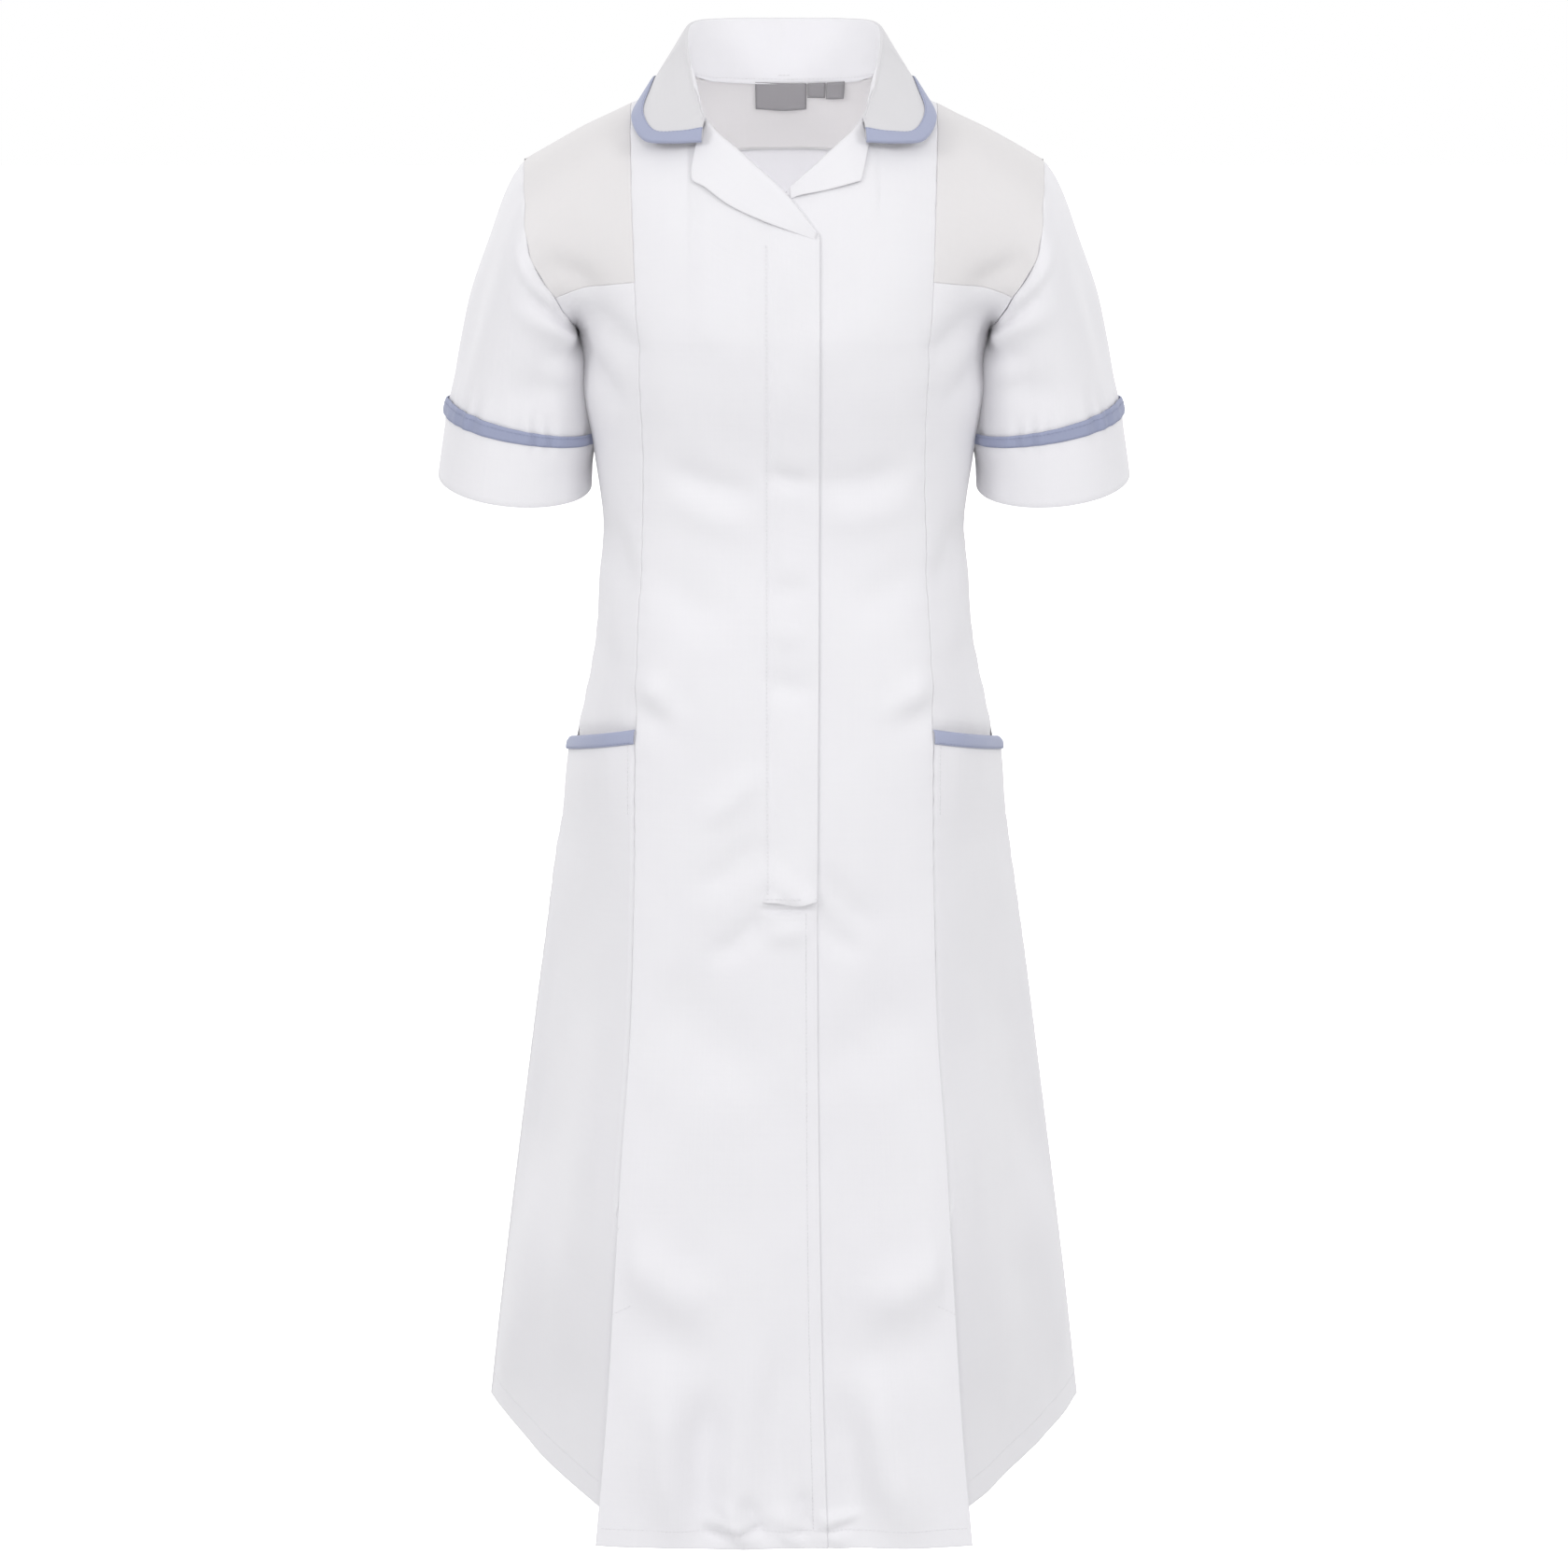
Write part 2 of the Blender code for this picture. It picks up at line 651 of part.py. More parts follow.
def sleeve_row(w, out=0.0):
    points = [sleeve_point(m, t, w) for m, t in zip(MARKS, TURNS)]
    if not out:
        return points
    step = 0.02
    moved = []
    for i, (m, t) in enumerate(zip(MARKS, TURNS)):
        round_it = points[(i + 1) % len(points)] - points[i - 1]
        along = sleeve_point(m, t, w + step) - sleeve_point(m, t, w - step)
        moved.append(points[i] + along.cross(round_it).normalized() * out)
    return moved


def facing_out(grid):
    return [list(reversed(row)) for row in grid]


CUFF_LAYER = LAY_GAP + WALL
SLEEVE_ROWS = (0.0, 0.12, 0.28, 0.46, 0.64, 0.82, 1.0, 1.96)
CUFF_ROWS = (1.0, 1.5, 2.0)
sleeve = [sleeve_row(w) for w in SLEEVE_ROWS]
sleeve[0] = [mix(a, b, SLEEVE_SEAM / (b - a).length) for a, b in zip(sleeve[0], sleeve[1])]
piece("sleeve_left", facing_out(sleeve), closed=True)
piece("sleeve_right", mirrored(facing_out(sleeve)), closed=True)

cuff = [sleeve_row(w, CUFF_LAYER) for w in CUFF_ROWS]
piece("cuff_left", facing_out(cuff), closed=True)
piece("cuff_right", mirrored(facing_out(cuff)), closed=True)

CUFF_DEPTH = (arm_ring(SLEEVE_END, 0.25) - arm_ring(CUFF_EDGE, 0.25)).length
band_end = 1 + (CUFF_BINDING - CUFF_BINDING_OVER) / CUFF_DEPTH
band = [sleeve_row(w, CUFF_LAYER + LAY_GAP + TRIM_WALL) for w in (1.0, band_end)]
piece("cuff_binding_left", facing_out(band), BLUE, TRIM_WALL, closed=True, rough=0.75)
piece("cuff_binding_right", mirrored(facing_out(band)), BLUE, TRIM_WALL, closed=True, rough=0.75)


# Collar: one folded piece that stands up from the neck and falls over its own roll
def collar_line(share, kind):
    return Vector([read(COLLAR, COLLAR_COLUMNS, "share", share, f"{kind}_{c}") for c in "xyz"])


def collar_foot(share):
    """Where the collar is sewn to the neckline."""
    if share < COLLAR_NECK_SHARE:
        s = mix(COLLAR_FRONT_S, NECK_S, share / COLLAR_NECK_SHARE)
        q = roll_end(s)
    else:
        s = mix(4 - NECK_S, 4, (share - COLLAR_NECK_SHARE) / (1 - COLLAR_NECK_SHARE))
        q = neck_end(s)
    return form(s, q, COLLAR_FOOT_LIFT) + Vector((0, 0, COLLAR_FOOT_LIFT))


def collar_section(share):
    """The fold's section: foot, roll and outer edge."""
    foot = collar_foot(share)
    top = collar_line(share, "roll")
    edge = collar_line(share, "edge")
    away = Vector((edge.x - foot.x, edge.y - foot.y, 0)).normalized()
    inner = top - away * ROLL_HALF - Vector((0, 0, ROLL_HALF * 0.8))
    outer = top + away * ROLL_HALF - Vector((0, 0, ROLL_HALF * 0.8))
    fall = (edge - outer).normalized()
    puff = away - fall * away.dot(fall)
    bound = max(1 - COLLAR_BINDING / (edge - outer).length, 0.35)
    points = [foot, mix(foot, inner, 0.5), inner, top, outer]
    for u in (bound / 2, bound, 1.0):
        points.append(mix(outer, edge, u) + puff * (COLLAR_PUFF * math.sin(math.pi * u)))
    return points


HALF_SHARES = (0.0, 0.04, 0.08, 0.12, 0.16, 0.21, 0.26, 0.34, 0.42, 0.51, 0.60, 0.70, 0.80, 0.90, 1.0)


def whole_collar(section):
    """Both halves of a collar piece, front end to front end."""
    half = [section(share) for share in HALF_SHARES]
    other = [[Vector((-p.x, p.y, p.z)) for p in row] for row in half[:-1]]
    return half + other[::-1]


piece("collar", whole_collar(collar_section), wall=WALL)


def binding_section(share):
    """The binding lies on the fall's last stretch, a layer further out."""
    points = collar_section(share)
    edge = points[-1]
    into = points[-2] - edge
    step = 0.01
    low = collar_section(max(share - step, 0))
    high = collar_section(min(share + step, 1))
    along = high[-1] - low[-1]
    out = along.cross(into).normalized()
    lift = out * (LAY_GAP + TRIM_WALL)
    return [edge + lift + into, edge + lift + into * 0.5, edge + lift]


piece("collar_binding", whole_collar(binding_section), BLUE, TRIM_WALL, rough=0.75)


# Lapels, turned back from the roll line onto the fronts
LAPEL_ROWS = (0.03, 0.12, 0.25, 0.35, 0.5, 0.66, 0.82, 0.94)
LAPEL_CLEAR = 0.06
LAPEL_SEAM_X = 0.1042


def lapel_grid(edge_rows, foot_x, under):
    """Rows from the roll line to the lapel's outer edge."""
    grid = []
    for share in LAPEL_ROWS:
        roll_x = mix(LAPEL_TOP_X, foot_x, share)
        row = []
        edge_x = read(edge_rows, LAPEL_COLUMNS, "share", share, "x")
        edge_z = read(edge_rows, LAPEL_COLUMNS, "share", share, "z")
        roll_z = read(ROLL, ROLL_COLUMNS, "x", roll_x, "z")
        for u in spread(3, LAPEL_CLEAR, 1):
            x = mix(roll_x, edge_x, u)
            z = mix(roll_z, edge_z, u)
            s = x / LAPEL_SEAM_X
            t = column_share(abs(s), z)
            row.append(form(s, t, LAPEL_LIFT - (under_depth(s) if under else 0.0)))
        grid.append(row)
    return grid


over = lapel_grid(LAPEL_OVER, LAPEL_OVER_FOOT_X, False)
under = lapel_grid(LAPEL_UNDER, LAPEL_UNDER_FOOT_X, True)
piece("lapel_right", mirrored(over[::-1]))
piece("lapel_left", under[::-1])


# Bare labels that hang inside the back neck
LABEL_WALL = 0.0007
LABEL_BELOW_SEAM = 0.0020
LABEL_COLUMNS = ("name", "left_x", "right_x", "drop")
LABELS = (
    ("label_wide", -0.0212, 0.0166, 0.0190),
    ("label_middle", 0.0174, 0.0306, 0.0105),
    ("label_end", 0.0314, 0.0446, 0.0112),
)
for name, left_x, right_x, drop in LABELS:
    grid = []
    for down in (drop, drop / 2, 0.0):
        row = []
        for x in spread(3, left_x, right_x):
            s = 4 - x / SEAM_TOP_X
            q = neck_end(s)
            z = form(s, q).z - LABEL_BELOW_SEAM - down
            row.append(form(s, column_share(min(s, 8 - s), z), -(WALL + LAY_GAP)))
        grid.append(row)
    piece(name, facing_out(grid), GREY, LABEL_WALL, rough=0.5)
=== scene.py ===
"""Nurse uniform dress in white twill with pale blue bindings, filled out as worn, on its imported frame.

Metres, +Z up, front towards -Y, the wearer's left towards +X. A place on the body is (s, q): s runs round it,
0 centre front, 1 front seam, 2 side seam, 3 back seam, 4 centre back, negative or past 4 on the mirrored side;
q is metres below the underarm where negative, and 0 to 1 from there up to the shoulder.
"""

import math

import bpy
import numpy as np
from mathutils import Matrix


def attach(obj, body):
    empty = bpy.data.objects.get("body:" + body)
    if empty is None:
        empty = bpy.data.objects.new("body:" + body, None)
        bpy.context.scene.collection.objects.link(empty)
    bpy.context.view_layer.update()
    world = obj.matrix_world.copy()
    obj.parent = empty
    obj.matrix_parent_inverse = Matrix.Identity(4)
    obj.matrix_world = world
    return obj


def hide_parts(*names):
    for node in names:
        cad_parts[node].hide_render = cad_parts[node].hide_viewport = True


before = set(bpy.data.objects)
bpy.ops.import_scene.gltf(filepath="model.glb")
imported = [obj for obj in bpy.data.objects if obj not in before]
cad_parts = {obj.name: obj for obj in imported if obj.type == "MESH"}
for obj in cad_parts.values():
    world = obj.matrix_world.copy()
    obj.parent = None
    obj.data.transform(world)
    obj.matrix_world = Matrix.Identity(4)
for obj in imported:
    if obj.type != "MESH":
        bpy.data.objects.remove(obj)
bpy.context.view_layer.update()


# The view: a level stand in front of the shoulders, looking slightly down, as the dress was pictured.
# A pale studio floor lies well below the hem, so the dress floats over it as if worn.
CAMERA_DISTANCE = 2.30
CAMERA_PITCH = 12.36
CAMERA_LENS = 72.58
FLOOR_Z = -1.42
FLOOR_HALF = 60.0

camera = bpy.data.objects.new("camera", bpy.data.cameras.new("camera"))
camera.data.lens = CAMERA_LENS
camera.data.sensor_width = 36.0
camera.location = (0.0, -CAMERA_DISTANCE, 0.0)
camera.rotation_euler = (math.radians(90 - CAMERA_PITCH), 0.0, 0.0)
bpy.context.scene.collection.objects.link(camera)
bpy.context.scene.camera = camera
bpy.context.scene.view_settings.view_transform = "Standard"
bpy.context.scene.view_settings.look = "None"


def fill(tree, node, inputs):
    """Sets the node's inputs to values, or links them to the outputs of other nodes."""
    for name, value in inputs.items():
        if isinstance(value, bpy.types.NodeSocket):
            tree.links.new(value, node.inputs[name])
        else:
            node.inputs[name].default_value = value


def add_node(tree, kind, inputs=None, **settings):
    node = tree.nodes.new(kind)
    for name, value in settings.items():
        setattr(node, name, value)
    fill(tree, node, inputs or {})
    return node


def new_material(name, inputs):
    """A material with the given inputs of its shader; gives it, its nodes and the shader."""
    material = bpy.data.materials.new(name)
    material.use_nodes = True
    shader = material.node_tree.nodes["Principled BSDF"]
    fill(material.node_tree, shader, inputs)
    return material, material.node_tree, shader


def white_sweep(name, colour):
    """A pale floor that is seen burnt out to white and still sends little light up."""
    look = {"Base Color": (*colour, 1), "Roughness": 1.0, "Emission Color": (1, 1, 1, 1)}
    material, tree, shader = new_material(name, look)
    path = add_node(tree, "ShaderNodeLightPath")
    fill(tree, shader, {"Emission Strength": path.outputs["Is Camera Ray"]})
    return material


floor_mesh = bpy.data.meshes.new("floor")
corners = [(x * FLOOR_HALF, y * FLOOR_HALF, FLOOR_Z) for x, y in ((-1, -1), (1, -1), (1, 1), (-1, 1))]
floor_mesh.from_pydata(corners, [], [(0, 1, 2, 3)])
floor_mesh.materials.append(white_sweep("studio floor", (0.62, 0.62, 0.62)))
floor = bpy.data.objects.new("floor", floor_mesh)
bpy.context.scene.collection.objects.link(floor)


# The light: an even white surround and a soft box on each side of the camera, as for a catalogue picture, two
# more for the back, and a small one inside the chest for the light that real thin cloth lets through.
SURROUND = 0.83
SOFT_BOX_POWER = 36.5
SOFT_BOX_SIZE = 1.2

world = bpy.data.worlds.new("white surround")
bpy.context.scene.world = world
world.use_nodes = True
sky = world.node_tree
surround = sky.nodes["Background"]
fill(sky, surround, {"Color": (1, 1, 1, 1), "Strength": SURROUND})
seen = add_node(sky, "ShaderNodeBackground", {"Color": (1, 1, 1, 1), "Strength": 1.0})
path = add_node(sky, "ShaderNodeLightPath")
either = add_node(sky, "ShaderNodeMixShader", {
    "Fac": path.outputs["Is Camera Ray"], 1: surround.outputs["Background"], 2: seen.outputs["Background"],
})
fill(sky, sky.nodes["World Output"], {"Surface": either.outputs["Shader"]})


def soft_box(name, place, turn, power, size):
    light = bpy.data.lights.new(name, "AREA")
    light.energy = power
    light.shape = "SQUARE"
    light.size = size
    made = bpy.data.objects.new(name, light)
    made.location = place
    made.rotation_euler = [math.radians(angle) for angle in turn]
    bpy.context.scene.collection.objects.link(made)


for name, place, turn, share in (
    ("box left of the camera", (-3.3, -3.0, 1.3), (70, 0, -48), 1.02),
    ("box right of the camera", (3.3, -3.0, 1.3), (70, 0, 48), 0.96),
    ("box behind the camera", (0.0, -4.4, 1.6), (67, 0, 0), 0.78),
    ("box behind on the left", (-2.4, 3.8, 1.3), (-70, 0, 32), 1.2),
    ("box behind on the right", (2.4, 3.8, 1.3), (-70, 0, -32), 0.9),
):
    soft_box(name, place, turn, SOFT_BOX_POWER * share, SOFT_BOX_SIZE)
soft_box("light through the cloth", (0.0, -0.045, -0.20), (150, 0, 0), 0.19, 0.10)


# The cloth: a white polyester and cotton twill. Its diagonal rib is half a millimetre wide, and thicker
# yarns run through it here and there. Every cut piece carries a map in metres that the weave follows.
CLOTH_WALL = 0.0012
RIB_PITCH = 0.0006
RIB_SLANT = 0.55
RIB_HEIGHT = 0.00006
YARNS_PER_RIB = 1.7
ALONG_YARNS = (420.0, 9.0, 1.0)
ACROSS_YARNS = (7.0, 380.0, 1.0)
RUMPLE_SCALE = 22.0
PATCH_SCALE = 7.0
WHITE = (0.815, 0.811, 0.832)
WHITE_SHADE = (0.778, 0.769, 0.802)


def new_group(name, kind, inputs, outputs):
    """A node group with the given sockets; gives it, its entry and its exit."""
    tree = bpy.data.node_groups.new(name, kind)
    for label, (what, value) in inputs.items():
        made = tree.interface.new_socket(name=label, in_out="INPUT", socket_type=f"NodeSocket{what}")
        if value is not None:
            made.default_value = value
    for label in outputs:
        what = "Geometry" if label == "Geometry" else "Float"
        tree.interface.new_socket(name=label, in_out="OUTPUT", socket_type=f"NodeSocket{what}")
    return tree, tree.nodes.new("NodeGroupInput"), tree.nodes.new("NodeGroupOutput")


def maths(tree, operation, *values):
    """A Math node with its inputs linked or set; gives its output."""
    return add_node(tree, "ShaderNodeMath", dict(enumerate(values)), operation=operation).outputs["Value"]


def yarn_noise(tree, cloth_map, scale):
    """Noise drawn out along yarns that run one way."""
    drawn = add_node(tree, "ShaderNodeMapping", {"Vector": cloth_map, "Scale": scale})
    noise = {"Vector": drawn.outputs["Vector"], "Scale": 1.0, "Detail": 2.0}
    return add_node(tree, "ShaderNodeTexNoise", noise).outputs["Fac"]


def weave_group():
    """Twill: the height of its ribs and yarns, and a mask of its thicker yarns."""
    inputs = {"Cloth map": ("Vector", None), "Pitch": ("Float", RIB_PITCH)}
    tree, entry, leave = new_group("twill weave", "ShaderNodeTree", inputs, ("Height", "Thick yarns"))
    cloth_map = entry.outputs["Cloth map"]
    split = add_node(tree, "ShaderNodeSeparateXYZ", {"Vector": cloth_map})
    across, along = split.outputs["X"], split.outputs["Y"]
    turns = maths(tree, "DIVIDE", 2 * math.pi, entry.outputs["Pitch"])
    slant = maths(tree, "ADD", across, maths(tree, "MULTIPLY", along, RIB_SLANT))
    rib = maths(tree, "SINE", maths(tree, "MULTIPLY", slant, turns))
    yarn = maths(tree, "SINE", maths(tree, "MULTIPLY", along, maths(tree, "MULTIPLY", turns, YARNS_PER_RIB)))
    fine = maths(tree, "ADD", maths(tree, "MULTIPLY", rib, 0.7), maths(tree, "MULTIPLY", yarn, 0.3))
    warp = yarn_noise(tree, cloth_map, ALONG_YARNS)
    weft = yarn_noise(tree, cloth_map, ACROSS_YARNS)
    thick = maths(tree, "MULTIPLY", maths(tree, "ADD", warp, weft), 0.5)
    raised = maths(tree, "ADD", maths(tree, "MULTIPLY", fine, 0.25), maths(tree, "MULTIPLY", thick, 1.6))
    fill(tree, leave, {"Height": raised, "Thick yarns": thick})
    return tree


def rumple_group():
    """Soft unevenness left by wear and washing, as a height and as a mask."""
    inputs = {"Scale": ("Float", RUMPLE_SCALE)}
    tree, entry, leave = new_group("soft rumples", "ShaderNodeTree", inputs, ("Height", "Patches"))
    place = add_node(tree, "ShaderNodeTexCoord").outputs["Object"]
    small = {"Vector": place, "Scale": entry.outputs["Scale"], "Detail": 3.0, "Roughness": 0.45}
    large = {"Vector": place, "Scale": PATCH_SCALE, "Detail": 2.0}
    for label, noise in (("Height", small), ("Patches", large)):
        fill(tree, leave, {label: add_node(tree, "ShaderNodeTexNoise", noise).outputs["Fac"]})
    return tree


WEAVE = weave_group()
RUMPLES = rumple_group()


def two_tones(tree, colour, shade, share):
    """The colour and its shade, mixed by the share."""
    tones = {"Factor": share, 6: (*colour, 1), 7: (*shade, 1)}
    return add_node(tree, "ShaderNodeMix", tones, data_type="RGBA").outputs[2]


def cloth_material(name, colour, shade, pitch=RIB_PITCH, rough=0.86, sheen=0.25, rumple=0.00035):
    """Woven cloth: two near tones in soft patches, a rib that catches the light, and a faint nap."""
    look = {"Roughness": rough, "Specular IOR Level": 0.25, "Sheen Weight": sheen, "Sheen Roughness": 0.45}
    material, tree, shader = new_material(name, look)
    cloth_map = add_node(tree, "ShaderNodeUVMap", uv_map="cloth").outputs["UV"]
    weave = add_node(tree, "ShaderNodeGroup", node_tree=WEAVE)
    fill(tree, weave, {"Pitch": pitch, "Cloth map": cloth_map})
    soft = add_node(tree, "ShaderNodeGroup", node_tree=RUMPLES)
    patches = maths(tree, "MULTIPLY", soft.outputs["Patches"], 0.7)
    yarns = maths(tree, "MULTIPLY", weave.outputs["Thick yarns"], 0.5)
    tone = two_tones(tree, colour, shade, maths(tree, "ADD", patches, yarns))
    folds = add_node(tree, "ShaderNodeBump", {"Distance": rumple, "Height": soft.outputs["Height"]})
    ribs = add_node(tree, "ShaderNodeBump", {
        "Distance": RIB_HEIGHT, "Height": weave.outputs["Height"], "Normal": folds.outputs["Normal"],
    })
    fill(tree, shader, {"Base Color": tone, "Normal": ribs.outputs["Normal"]})
    return material


WHITE_TWILL = cloth_material("white twill", WHITE, WHITE_SHADE)
# A greyer copy of the white twill for the chest pieces and the yoke: its grey is painted shade.
SHADED_TWILL = cloth_material("white twill with painted shade", (0.748, 0.732, 0.735), (0.712, 0.694, 0.702))


# The two centre fronts: long panels of the white twill from neck to hem. The wearer's right one laps over the
# left one, and each turns back on itself at the neck. The body's form follows the solids' own tables.
UNDERARM_Z = -0.168
HEM_Z = -1.058
PLEAT_TOP_Z = -0.800
PLEAT_DEPTH = 0.064
PLEAT_EASE = 0.72
NECK_X = 0.066
NECK_Z = 0.010
NECK_CROWN = 0.020
SHOULDER_X = 0.185
SHOULDER_SLOPE = 0.43
SHOULDER_DROP = 0.0068
RIDGE_Y = -0.002
SEAM_TOP_X = 0.108
NECK_S = NECK_X / SEAM_TOP_X
LAP_X = 0.0236
UNDER_DEPTH = 0.0008
UNDER_START_S = 0.25
UNDER_SPAN_S = 0.30
CORNER = 0.75
CORNER_START_Z = -0.33
CORNER_SPAN = 0.45
MESH_STEP = 0.0042
SEAM_GAP = 0.00006
SEAM_TURN = 0.00024
SEAM_REACH = 0.0009

RING_COLUMNS = ("z", "front_y", "seam_x", "seam_y", "side_x", "side_y", "back_x", "back_y", "rear_y")
RINGS = (
    (-1.058, -0.127, 0.1405, -0.122, 0.2440, 0.162, 0.150, 0.207, 0.216),
    (-0.960, -0.124, 0.1318, -0.118, 0.2310, 0.136, 0.140, 0.188, 0.197),
    (-0.860, -0.121, 0.1252, -0.113, 0.2170, 0.110, 0.130, 0.167, 0.176),
    (-0.760, -0.118, 0.1188, -0.109, 0.2025, 0.085, 0.121, 0.149, 0.159),
    (-0.660, -0.115, 0.1112, -0.104, 0.1880, 0.062, 0.114, 0.132, 0.142),
    (-0.560, -0.113, 0.1078, -0.100, 0.1725, 0.040, 0.108, 0.119, 0.129),
    (-0.480, -0.111, 0.1064, -0.097, 0.1575, 0.022, 0.103, 0.109, 0.119),
    (-0.440, -0.109, 0.1058, -0.094, 0.1490, 0.014, 0.100, 0.103, 0.112),
    (-0.385, -0.104, 0.1046, -0.087, 0.1385, 0.008, 0.095, 0.093, 0.102),
    (-0.310, -0.096, 0.1006, -0.076, 0.1320, 0.004, 0.089, 0.081, 0.090),
    (-0.255, -0.099, 0.0992, -0.078, 0.1345, 0.003, 0.090, 0.081, 0.091),
    (-0.205, -0.109, 0.1004, -0.088, 0.1420, 0.003, 0.094, 0.086, 0.097),
    (-0.168, -0.112, 0.1020, -0.092, 0.1480, 0.003, 0.096, 0.088, 0.100),
)
ARMHOLE_COLUMNS = ("share", "x", "front_y", "back_y", "z")
ARMHOLE = (
    (0.00, 0.1480, 0.003, 0.003, -0.168),
    (0.20, 0.1515, -0.046, 0.048, -0.158),
    (0.35, 0.1605, -0.067, 0.068, -0.141),
    (0.50, 0.1735, -0.074, 0.076, -0.120),
    (0.65, 0.1790, -0.072, 0.075, -0.100),
    (0.80, 0.1810, -0.058, 0.062, -0.077),
    (0.92, 0.1835, -0.030, 0.032, -0.057),
    (1.00, 0.1850, -0.002, -0.002, -0.048),
)
ROLL_COLUMNS = ("x", "z")
ROLL = (
    (-0.0236, -0.0965),
    (-0.0020, -0.0705),
    (0.0265, -0.0450),
    (0.0530, -0.0190),
    (0.0660, 0.0100),
)
LAP_COLUMNS = ("z", "x")
LAP = (
    (-1.058, 0.0325),
    (-0.900, 0.0280),
    (-0.760, 0.0255),
    (-0.567, LAP_X),
    (-0.096, LAP_X),
)


def read(rows, columns, key, at, name):
    """Smooth values of the named column where the key column has the values at."""
    keys = np.array([row[columns.index(key)] for row in rows])
    values = np.array([row[columns.index(name)] for row in rows])
    slopes = np.empty(len(rows))
    slopes[1:-1] = (values[2:] - values[:-2]) / (keys[2:] - keys[:-2])
    slopes[0] = (values[1] - values[0]) / (keys[1] - keys[0])
    slopes[-1] = (values[-1] - values[-2]) / (keys[-1] - keys[-2])
    at = np.clip(at, keys[0], keys[-1])
    i = np.clip(np.searchsorted(keys, at, side="right") - 1, 0, len(rows) - 2)
    span = keys[i + 1] - keys[i]
    u = (at - keys[i]) / span
    start = values[i] * (1 + 2 * u) * (1 - u) ** 2 + values[i + 1] * u * u * (3 - 2 * u)
    return start + span * u * (1 - u) * ((1 - u) * slopes[i] - u * slopes[i + 1])


def mix(a, b, u):
    return a + (b - a) * u


def ease(u):
    u = np.clip(u, 0.0, 1.0)
    return u * u * (3 - 2 * u)


def unit(v):
    return v / np.maximum(np.linalg.norm(v, axis=-1, keepdims=True), 1e-12)


def point(x, y, z):
    return np.stack(np.broadcast_arrays(x, y, z), axis=-1)


def hermite(a, b, along_a, along_b, u):
    """Points of the cubic from a to b that leaves and arrives in the given directions."""
    u = np.asarray(u)[..., None]
    return (
        a * ((1 + 2 * u) * (1 - u) ** 2)
        + b * (u * u * (3 - 2 * u))
        + along_a * (u * (1 - u) ** 2)
        - along_b * (u * u * (1 - u))
    )


def pleat_step(z):
    """How far the side panel lies behind the front panel's folded edge."""
    down = (PLEAT_TOP_Z - z) / (PLEAT_TOP_Z - HEM_Z)
    return PLEAT_DEPTH * ease(down * PLEAT_EASE) / ease(PLEAT_EASE)


def ring(s, z):
    """Points of the body's outline at heights z, for s from 0 to 4."""
    s, z = np.broadcast_arrays(np.asarray(s, float), np.asarray(z, float))
    row = {name: read(RINGS, RING_COLUMNS, "z", z, name) for name in RING_COLUMNS}
    none = np.zeros_like(z)
    part = np.clip(np.ceil(s).astype(int) - 1, 0, 3)
    seam_y = row["seam_y"] + np.where(part == 1, pleat_step(z), 0.0)
    knots = np.stack([
        np.stack([none, row["front_y"]], -1),
        np.stack([row["seam_x"], seam_y], -1),
        np.stack([row["side_x"], row["side_y"]], -1),
        np.stack([row["back_x"], row["back_y"]], -1),
        np.stack([none, row["rear_y"]], -1),
    ])
    chords = unit(knots[1:] - knots[:-1])
    own = (CORNER * ease((CORNER_START_Z - z) / CORNER_SPAN))[..., None]
    across = np.broadcast_to(np.array([1.0, 0.0]), chords[0].shape)
    inwards = np.broadcast_to(np.array([0.0, 1.0]), chords[0].shape)
    front_turn = unit(chords[0] + chords[1])
    back_turn = unit(chords[2] + chords[3])
    leaving = np.stack([across, unit(mix(front_turn, chords[1], own)), inwards, back_turn])
    arriving = np.stack([
        unit(mix(front_turn, chords[0], own)), unit(mix(inwards, chords[1], own)), back_turn, -across,
    ])
    pick = part[None, ..., None]
    a = np.take_along_axis(knots, pick, 0)[0]
    b = np.take_along_axis(knots, pick + 1, 0)[0]
    start = np.take_along_axis(leaving, pick, 0)[0]
    end = np.take_along_axis(arriving, pick, 0)[0]
    length = np.linalg.norm(b - a, axis=-1, keepdims=True)
    flat = hermite(a, b, start * length, end * length, s - part)
    return point(flat[..., 0], flat[..., 1], z)


def ridge(x):
    """Top of the shoulder at x, or of the plain arch over the neck."""
    out = np.maximum((x - NECK_X) / (SHOULDER_X - NECK_X), 0)
    shoulder = NECK_Z - SHOULDER_SLOPE * (x - NECK_X) - SHOULDER_DROP * out**4
    arch = NECK_Z + NECK_CROWN * (1 - (x / NECK_X) ** 2)
    return point(x, RIDGE_Y, np.where(x < NECK_X, arch, shoulder))


def column(s, t):
    """Points of a line up the chest or back, for s up to 1 or from 3."""
    low = ring(s, UNDERARM_Z)
    high = ridge(SEAM_TOP_X * np.minimum(s, 4 - s))
    angle = np.asarray(t) * math.pi / 2
    rise = np.sin(angle)
    lean = 1 - np.cos(angle)
    return point(
        mix(low[..., 0], high[..., 0], rise),
        mix(low[..., 1], high[..., 1], lean),
        mix(low[..., 2], high[..., 2], rise),
    )


def armhole(t, back):
    """Points of the armhole's seam, on its front or its back half."""
    x = read(ARMHOLE, ARMHOLE_COLUMNS, "share", t, "x")
    front_y = read(ARMHOLE, ARMHOLE_COLUMNS, "share", t, "front_y")
    back_y = read(ARMHOLE, ARMHOLE_COLUMNS, "share", t, "back_y")
    z = read(ARMHOLE, ARMHOLE_COLUMNS, "share", t, "z")
    return point(x, np.where(back, back_y, front_y), z)


